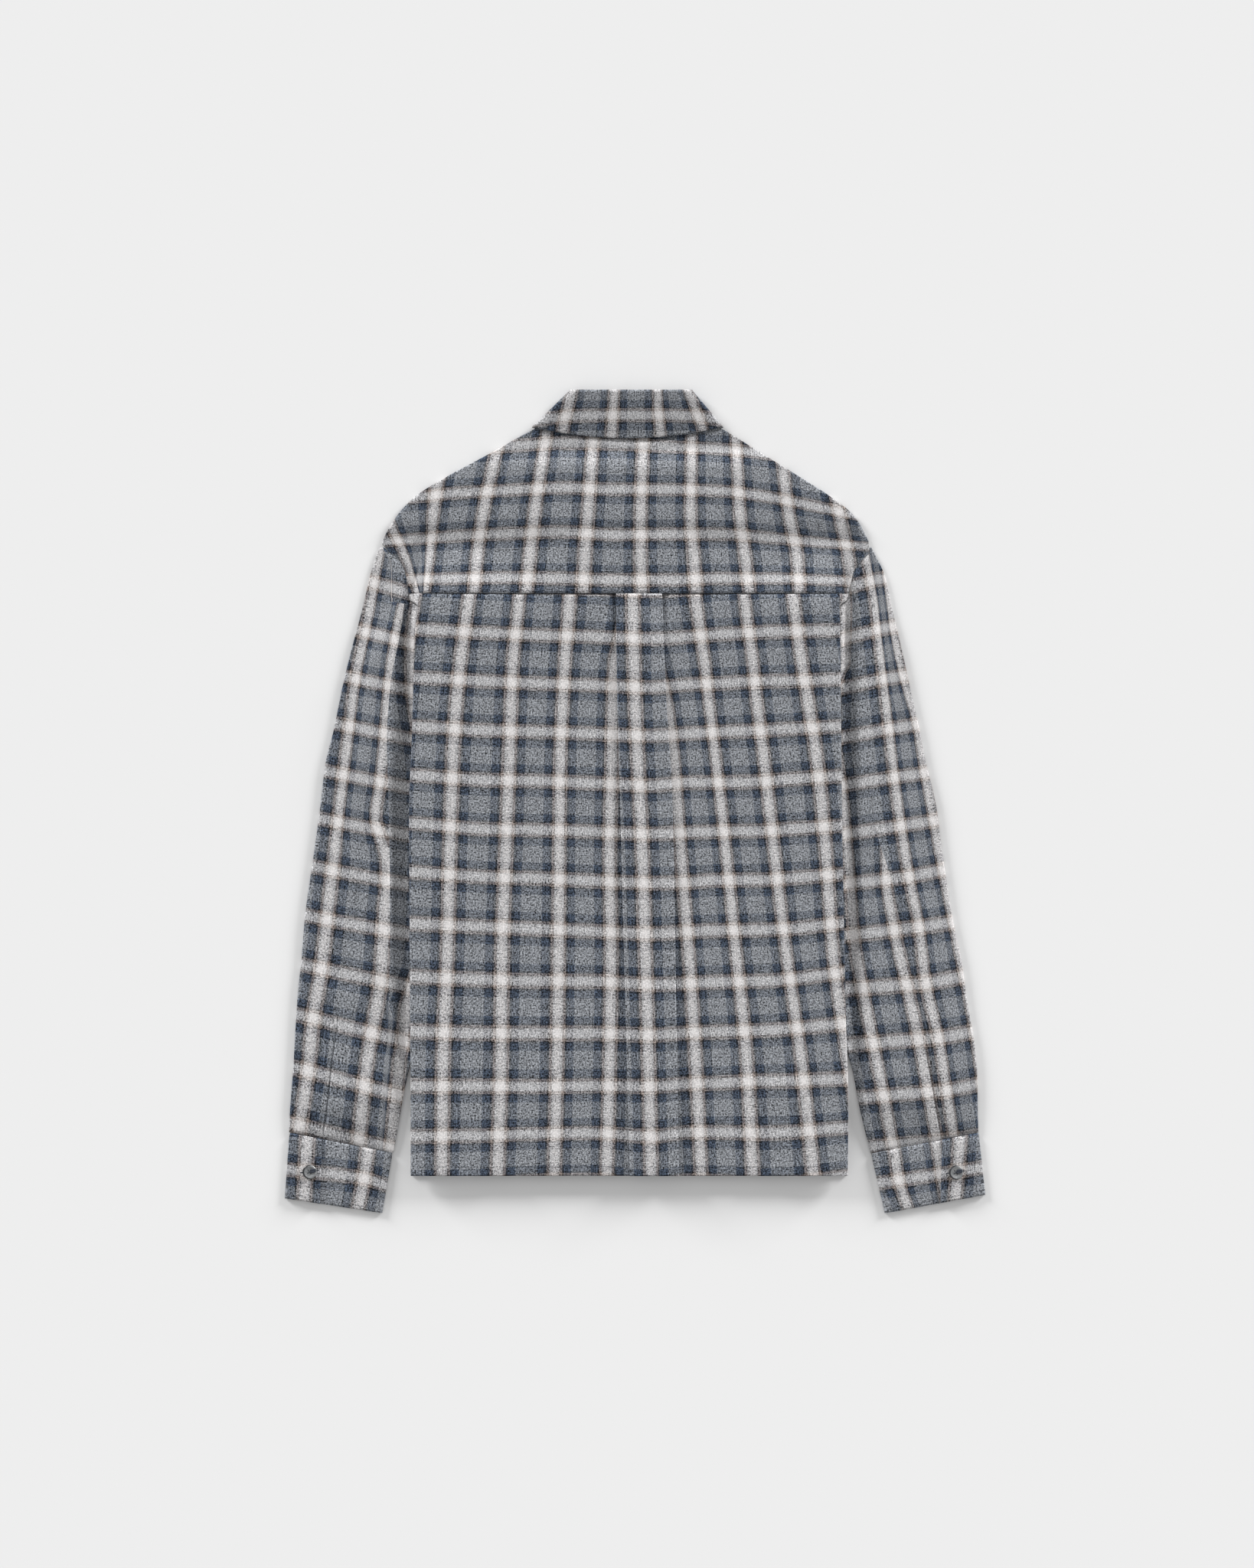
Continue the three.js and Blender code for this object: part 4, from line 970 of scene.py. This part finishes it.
# The roll along the top, where the leaf turns over on to the stand
roll = []
for angle in np.linspace(math.pi, 0, 8)[:-1]:
    ring = leaf_rows[0].copy()
    middle_z = FLOOR_LAYER + 1.5 * LAYER
    ring[:, 1] += LAYER / 2 * math.sin(angle)
    ring[:, 2] -= 0.31 * (ring[:, 2] - middle_z) * (1 - math.cos(angle))
    roll.append(ring)
leaf_rows = roll + leaf_rows
leaf = make_cloth("collar_leaf_cloth", leaf_rows[::-1], [COLLAR_CHART], LEAF_CLOTH)
leaf.data.materials.append(FLANNEL)
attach(leaf, "root")
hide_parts("collar_leaf")
stand_rows = collar_ring({
    "top_y": COLLAR_TOP_Y - 2, "bottom_y": NECK_POINT_Y + 0.5,
    "top": {"left": COLLAR_TOP["left"] + 5, "right": COLLAR_TOP["right"] - 5},
    "bottom": {"left": NECK_CENTRE - NECK_HALF_WIDTH + 1, "right": NECK_CENTRE + NECK_HALF_WIDTH - 1},
    "front_end": lambda side, v: (NECK_CENTRE + out_of(side) * 0.3, 321.25 - 31.75 * v),
    "front_height": front_height, "back_height": SECOND_LAYER + LAYER, "tilt": 0.5,
    "back_drop": 3, "radius": LAYER / 2},
    rows=12)
stand = make_cloth("collar_stand_cloth", stand_rows[::-1], [COLLAR_CHART])
stand.data.materials.append(FLANNEL)
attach(stand, "root")
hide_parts("collar_stand")

# The cuffs: each a doubled band of flannel that laps over itself at its one button, folded
# along its lower edge.
CUFF_CLOTH = 1.3
CUFF_LAYER = 1.8
CUFFS = {
    "left": {"outer": ((-338.5, -323.5), (-343, -388)), "inner": ((-237.5, -343.5), (-247.5, -402.5)),
             "lap": (-306.5, -308.5), "under": (-326, -328),
             "stripes": [[(0, [(-381.4, -323.6), (-332.6, -321.4)]),
                          (1, [(-396.4, -271.1), (-368.6, -265.1), (-340.1, -261.4)])]] * 2,
             "bar": [(-333.4, -360.4), (-294.4, -364.5), (-265.1, -368.6), (-245.6, -374.6)]},
    "right": {"outer": ((336.5, -323.5), (343, -384.5)), "inner": ((231, -344.2), (244.5, -402.75)),
              "lap": (300.5, 299), "under": (321, 320),
              "stripes": [[(0, [(-397.1, 268.1), (-370.1, 258.8), (-346.9, 255.4)]),
                           (1, [(-397, 304), (-370, 300), (-344.6, 296)])],
                          [(1, [(-382.9, 313.9), (-344.6, 316.9)])]],
              "bar": [(259.1, -370.1), (289.9, -365.6), (332.6, -358.9)]},
}
for side, size in CUFFS.items():
    out = out_of(side)
    cuff_rows = []
    for v in np.linspace(0, 1, 28):
        outer = [size["outer"][0][i] + (size["outer"][1][i] - size["outer"][0][i]) * v for i in (0, 1)]
        inner = [size["inner"][0][i] + (size["inner"][1][i] - size["inner"][0][i]) * v for i in (0, 1)]
        gap = SEAM_GAP if v == 0 else 0

        def row_y(x, outer=outer, inner=inner, gap=gap):
            part = (np.asarray(x, float) - outer[0]) / (inner[0] - outer[0])
            return outer[1] + (inner[1] - outer[1]) * part - gap
        floor_height = CUFF_CLOTH / 2 + 0.05
        outer_turn = turn_start(outer[0], out, CUFF_LAYER, CUFF_CLOTH)
        inner_turn = turn_start(inner[0], -out, CUFF_LAYER, CUFF_CLOTH)
        lap = size["lap"][0] + (size["lap"][1] - size["lap"][0]) * v
        end = size["under"][0] + (size["under"][1] - size["under"][0]) * v
        sink = 1.1 * float(ease(v, 0.09, 0))
        lap_height = lambda x, y, sink=sink: floor_height - sink + CUFF_LAYER * (
            1 + ease(np.abs(x), abs(outer_turn) - 0.5, abs(end) + 1))
        upper = run(np.linspace(end, inner_turn, 34), row_y,
                    lambda x, y: np.full(np.shape(x), floor_height + CUFF_LAYER - sink))
        upper[np.abs(upper[:, 0]) > abs(lap) - 1, 3] = 0
        lower = run(np.linspace(inner_turn, outer_turn, 34), row_y,
                    lambda x, y: np.full(np.shape(x), floor_height), 0)
        lapped = run(np.linspace(outer_turn, lap, 20), row_y, lap_height, 2)
        cuff_rows.append(folded(folded(upper, lower, -out), lapped, out))
    bar = curve(size["bar"])
    bars = [(0, lambda x, y, bar=bar: bar(x)), (-1, lambda x, y, bar=bar: bar(x) - 48)]
    charts = [Chart(each, bars, SLEEVE_PITCH) for each in size["stripes"]]
    cuff = make_cloth(f"cuff_{side}_cloth", cuff_rows[::-1] if side == "left" else cuff_rows, charts, CUFF_CLOTH)
    cuff.data.materials.append(FLANNEL)
    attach(cuff, "root")
    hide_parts(f"cuff_{side}")

# The buttons: smoky grey pressed plastic, each with a raised rim, a shallow dish and four
# holes. Seven close the front, one the collar stand and one each cuff, sewn on with navy thread.
BUTTON_RADIUS = 7.0
BUTTON_RINGS = [(0, 1.35), (0.5, 1.35), (0.9, 1.35), (1.3, 1.35), (1.7, 1.35), (2.1, 1.35), (2.5, 1.35),
                (3.0, 1.36), (3.6, 1.42), (4.2, 1.55), (4.8, 1.75), (5.3, 1.93), (5.8, 2.0), (6.3, 1.95),
                (6.7, 1.7), (6.95, 1.3), (7.0, 0.9), (6.8, 0.4), (6.3, 0.08), (5.6, 0.0), (0, 0.0)]
BUTTON_HOLES = [(1.35, 1.35), (-1.35, 1.35), (-1.35, -1.35), (1.35, -1.35)]
HOLE_DEPTH = 0.9
BUTTONS = [(f"button_front_{i + 1}", NECK_CENTRE, 245 - 85 * i, 2.0, -1) for i in range(7)]
BUTTONS += [("button_collar", NECK_CENTRE, 303, 2.0, -1), ("button_cuff_left", -318.5, -362, 5.2, 1),
            ("button_cuff_right", 314, -362.5, 5.2, 1)]


def make_button_material():
    material = bpy.data.materials.new("smoky button")
    material.use_nodes = True
    tree = material.node_tree
    shader = tree.nodes["Principled BSDF"]
    shader.inputs["Specular IOR Level"].default_value = 0.5
    shader.inputs["Coat Weight"].default_value = 0.4
    shader.inputs["Coat Roughness"].default_value = 0.12
    face = add_node(tree, "ShaderNodeUVMap", {"uv_map": "face"})
    parts = add_node(tree, "ShaderNodeSeparateXYZ", i0=face.outputs[0])
    x = Value(tree, parts.outputs["X"])
    place = add_node(tree, "ShaderNodeTexCoord")
    swirl = add_node(tree, "ShaderNodeTexNoise", Vector=place.outputs["Object"], Scale=260.0, Detail=4.0,
                     Roughness=0.6, Distortion=1.4)
    cloud = add_node(tree, "ShaderNodeValToRGB", {"stops": [
        (0.3, (0.13, 0.137, 0.142)), (0.5, (0.21, 0.218, 0.223)), (0.7, (0.31, 0.318, 0.32))]}, Fac=swirl.outputs[0])
    # Painted shade: the rim's left side and a thin ring round the button's edge are darkened to near black. This
    # stands in for the shadow along the rim. The smoky swirl is the plastic's own colour.
    radius = add_node(tree, "ShaderNodeVectorMath", {"operation": "LENGTH"}, i0=face.outputs[0])
    reach = Value(tree, radius.outputs["Value"])
    painted_rim_shade = (reach - 0.55) * (0.2 - x) * 7.0 + (reach - 0.86) * 7.0
    painted_rim_shade_mix = add_node(tree, "ShaderNodeMix", {"data_type": "RGBA", "clamp_factor": True}, i0=painted_rim_shade,
                    i6=cloud.outputs[0], i7=(0.012, 0.013, 0.016, 1))
    tree.links.new(painted_rim_shade_mix.outputs[2], shader.inputs["Base Color"])
    gloss = add_node(tree, "ShaderNodeMapRange", i0=swirl.outputs[0], i1=0.2, i2=0.8, i3=0.24, i4=0.38)
    tree.links.new(gloss.outputs[0], shader.inputs["Roughness"])
    return material


def make_thread_material():
    material = bpy.data.materials.new("navy thread")
    material.use_nodes = True
    tree = material.node_tree
    shader = tree.nodes["Principled BSDF"]
    shader.inputs["Roughness"].default_value = 0.75
    shader.inputs["Specular IOR Level"].default_value = 0.2
    place = add_node(tree, "ShaderNodeTexCoord")
    ply = add_node(tree, "ShaderNodeTexNoise", Vector=place.outputs["Object"], Scale=2200.0, Detail=2.0)
    colour = add_node(tree, "ShaderNodeValToRGB", {"stops": [
        (0.3, (0.020, 0.024, 0.034)), (0.7, (0.060, 0.068, 0.086))]}, Fac=ply.outputs[0])
    tree.links.new(colour.outputs[0], shader.inputs["Base Color"])
    bump = add_node(tree, "ShaderNodeBump", Strength=0.5, Distance=0.0001, Height=ply.outputs[0])
    tree.links.new(bump.outputs[0], shader.inputs["Normal"])
    return material


def make_button(name, x, y, z, facing):
    """A button by spinning its section, its holes pressed into the dish, facing up or down."""
    bm = bmesh.new()
    ring = [bm.verts.new((radius, 0, height)) for radius, height in BUTTON_RINGS]
    edges = [bm.edges.new(pair) for pair in zip(ring, ring[1:])]
    bmesh.ops.spin(bm, geom=ring + edges, cent=(0, 0, 0), axis=(0, 0, 1), angle=2 * math.pi, steps=56,
                   use_merge=True)
    bmesh.ops.remove_doubles(bm, verts=bm.verts[:], dist=0.0005)
    bmesh.ops.recalc_face_normals(bm, faces=bm.faces[:])
    for vert in bm.verts:
        near = min(math.hypot(vert.co.x - hx, vert.co.y - hy) for hx, hy in BUTTON_HOLES)
        if vert.co.z > 1:
            vert.co.z -= HOLE_DEPTH * float(ease(near, 0.95, 0.45))
    uv = bm.loops.layers.uv.new("face")
    for each in bm.faces:
        each.smooth = True
        for loop in each.loops:
            loop[uv].uv = (loop.vert.co.x / BUTTON_RADIUS, loop.vert.co.y / BUTTON_RADIUS)
    for vert in bm.verts:
        vert.co = ((x + vert.co.x) * MM, (y + facing * vert.co.y) * MM, (z + facing * vert.co.z) * MM)
    mesh = bpy.data.meshes.new(name)
    bm.to_mesh(mesh)
    bm.free()
    piece = bpy.data.objects.new(name, mesh)
    bpy.context.scene.collection.objects.link(piece)
    return piece


BUTTON_PLASTIC = make_button_material()
for node, x, y, z, facing in BUTTONS:
    button = make_button(f"{node}_detail", x, y, z, facing)
    button.data.materials.append(BUTTON_PLASTIC)
    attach(button, "root")
    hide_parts(node)

# The sewing: navy thread through the buttons and round the buttonholes, and rows of small
# stitches beside the seams and along the hem, collar, cuffs and front edges.
STITCH_LENGTH = 2.3
STITCH_STEP = 3.1
STITCH_RADIUS = 0.2
UNDER_LIFT = 0.28


def make_thread(name, strands):
    """Strands of thread of (start, end, width, height), cut from one long tube of grid."""
    rings, sides = 5, 6
    columns = rings * len(strands)
    bm = bmesh.new()
    bmesh.ops.create_grid(bm, x_segments=columns - 1, y_segments=sides, size=1.0)
    strand_of = {}
    for vert in bm.verts:
        i = round((vert.co.x + 1) / 2 * (columns - 1))
        angle = math.pi * (vert.co.y + 1)
        start, end, width, height = strands[i // rings]
        strand_of[vert.index] = i // rings
        part = i % rings / (rings - 1)
        fullness = math.sin(math.pi * (0.05 + 0.9 * part)) ** 0.5
        along = math.hypot(end[0] - start[0], end[1] - start[1])
        beside = ((start[1] - end[1]) / along, (end[0] - start[0]) / along)
        across = math.cos(angle) * width / 2 * fullness
        up = math.sin(angle) * height / 2 * fullness
        vert.co = ((start[0] + (end[0] - start[0]) * part + beside[0] * across) * MM,
                   (start[1] + (end[1] - start[1]) * part + beside[1] * across) * MM,
                   (start[2] + (end[2] - start[2]) * part + up) * MM)
    between = [f for f in bm.faces if len({strand_of[v.index] for v in f.verts}) > 1]
    bmesh.ops.delete(bm, geom=between, context="FACES")
    bmesh.ops.recalc_face_normals(bm, faces=bm.faces[:])
    for each in bm.faces:
        each.smooth = True
    mesh = bpy.data.meshes.new(name)
    bm.to_mesh(mesh)
    bm.free()
    piece = bpy.data.objects.new(name, mesh)
    bpy.context.scene.collection.objects.link(piece)
    piece.data.materials.append(THREAD)
    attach(piece, "root")
    return piece


def surface(piece):
    """The cloth of a piece as something that a line from above or below can meet."""
    mesh = piece.data
    return BVHTree.FromPolygons([v.co for v in mesh.vertices], [list(p.vertices) for p in mesh.polygons])


def on_cloth(cloth, x, y, facing, lift):
    """The place on the outside of a cloth over or under a point, in millimetres."""
    hit = cloth.ray_cast(Vector((x * MM, y * MM, facing * 0.1)), Vector((0, 0, -facing)))[0]
    return None if hit is None else (x, y, hit.z / MM + facing * lift)


def stitch_row(cloth, path, facing=1, lift=CLOTH / 2 + 0.05):
    """Stitches an even step apart along a path on a cloth."""
    strands = []
    points = np.array(path, float)
    step = np.hypot(*np.diff(points, axis=0).T)
    length = np.concatenate([[0], np.cumsum(step)])
    for begin in np.arange(0, length[-1] - STITCH_LENGTH, STITCH_STEP):
        ends = [on_cloth(cloth, float(np.interp(t, length, points[:, 0])),
                         float(np.interp(t, length, points[:, 1])), facing, lift)
                for t in (begin, begin + STITCH_LENGTH)]
        if None not in ends and abs(ends[0][2] - ends[1][2]) < 1:
            strands.append((ends[0], ends[1], 2 * STITCH_RADIUS, 1.6 * STITCH_RADIUS))
    return strands


THREAD = make_thread_material()
button_strands = []
for node, x, y, z, facing in BUTTONS:
    top = z + facing * 1.55
    for hx, hy in BUTTON_HOLES[:2]:
        button_strands.append(((x + hx, y + hy, top), (x - hx, y - hy, top + facing * 0.15), 0.7, 0.6))
    if facing > 0:
        for side_step in (-1.15, 0, 1.15):
            button_strands.append(((x + 0.6, y + 0.9 + side_step, top + 0.3),
                                   (x + 6.8 - 0.5 * abs(side_step), y + 1.6 + side_step, z + 2.6), 1.7, 1.5))
        button_strands.append(((x - 9.5, y - 0.9, 5.0), (x + 9.5, y + 1.6, 5.0), 1.8, 0.5))
    else:
        button_strands.append(((x, y - 9.5, z + 0.25), (x, y + 9.5, z + 0.25), 2.0, 0.5))
make_thread("button_thread", button_strands)

stitches = stitch_row(surface(yoke), [(-213, YOKE_SEAM_Y + 2.4), (203, YOKE_SEAM_Y + 2.4)])
stitches += stitch_row(surface(back), [(-214, HEM_Y + 9), (202, HEM_Y + 9)])
stitches += stitch_row(
    surface(leaf), [(-94, 371.5), (-56, 366.3), (-8, 361.8), (13, 361.8), (52, 365.8), (80, 371.5)],
    lift=LEAF_CLOTH / 2 + 0.05)
for side, size in CUFFS.items():
    cuff_cloth = surface(bpy.data.objects[f"cuff_{side}_cloth"])
    out = out_of(side)
    for end, inset in ((0, -4), (1, 4)):
        outer, inner = size["outer"][end], size["inner"][end]
        stitches += stitch_row(cuff_cloth, [(outer[0] - out * 4, outer[1] + inset), (inner[0] + out * 4, inner[1] + inset)],
                               lift=CUFF_CLOTH / 2 + 0.05)
for side in ("left", "right"):
    front_cloth = surface(bpy.data.objects[f"front_{side}_cloth"])
    out = out_of(side)
    for inset in (4, 32):
        if side == "left" or inset > 30:
            edge_x = NECK_CENTRE - out * (OVERLAP - inset)
            stitches += stitch_row(front_cloth, [(edge_x, HEM_Y + 3), (edge_x, 286)], -1, UNDER_LIFT)
    stitches += stitch_row(front_cloth, [(NECK_CENTRE + out * 20, HEM_Y + 9), (out * 206, HEM_Y + 9)], -1, UNDER_LIFT)
make_thread("seam_stitches", stitches)
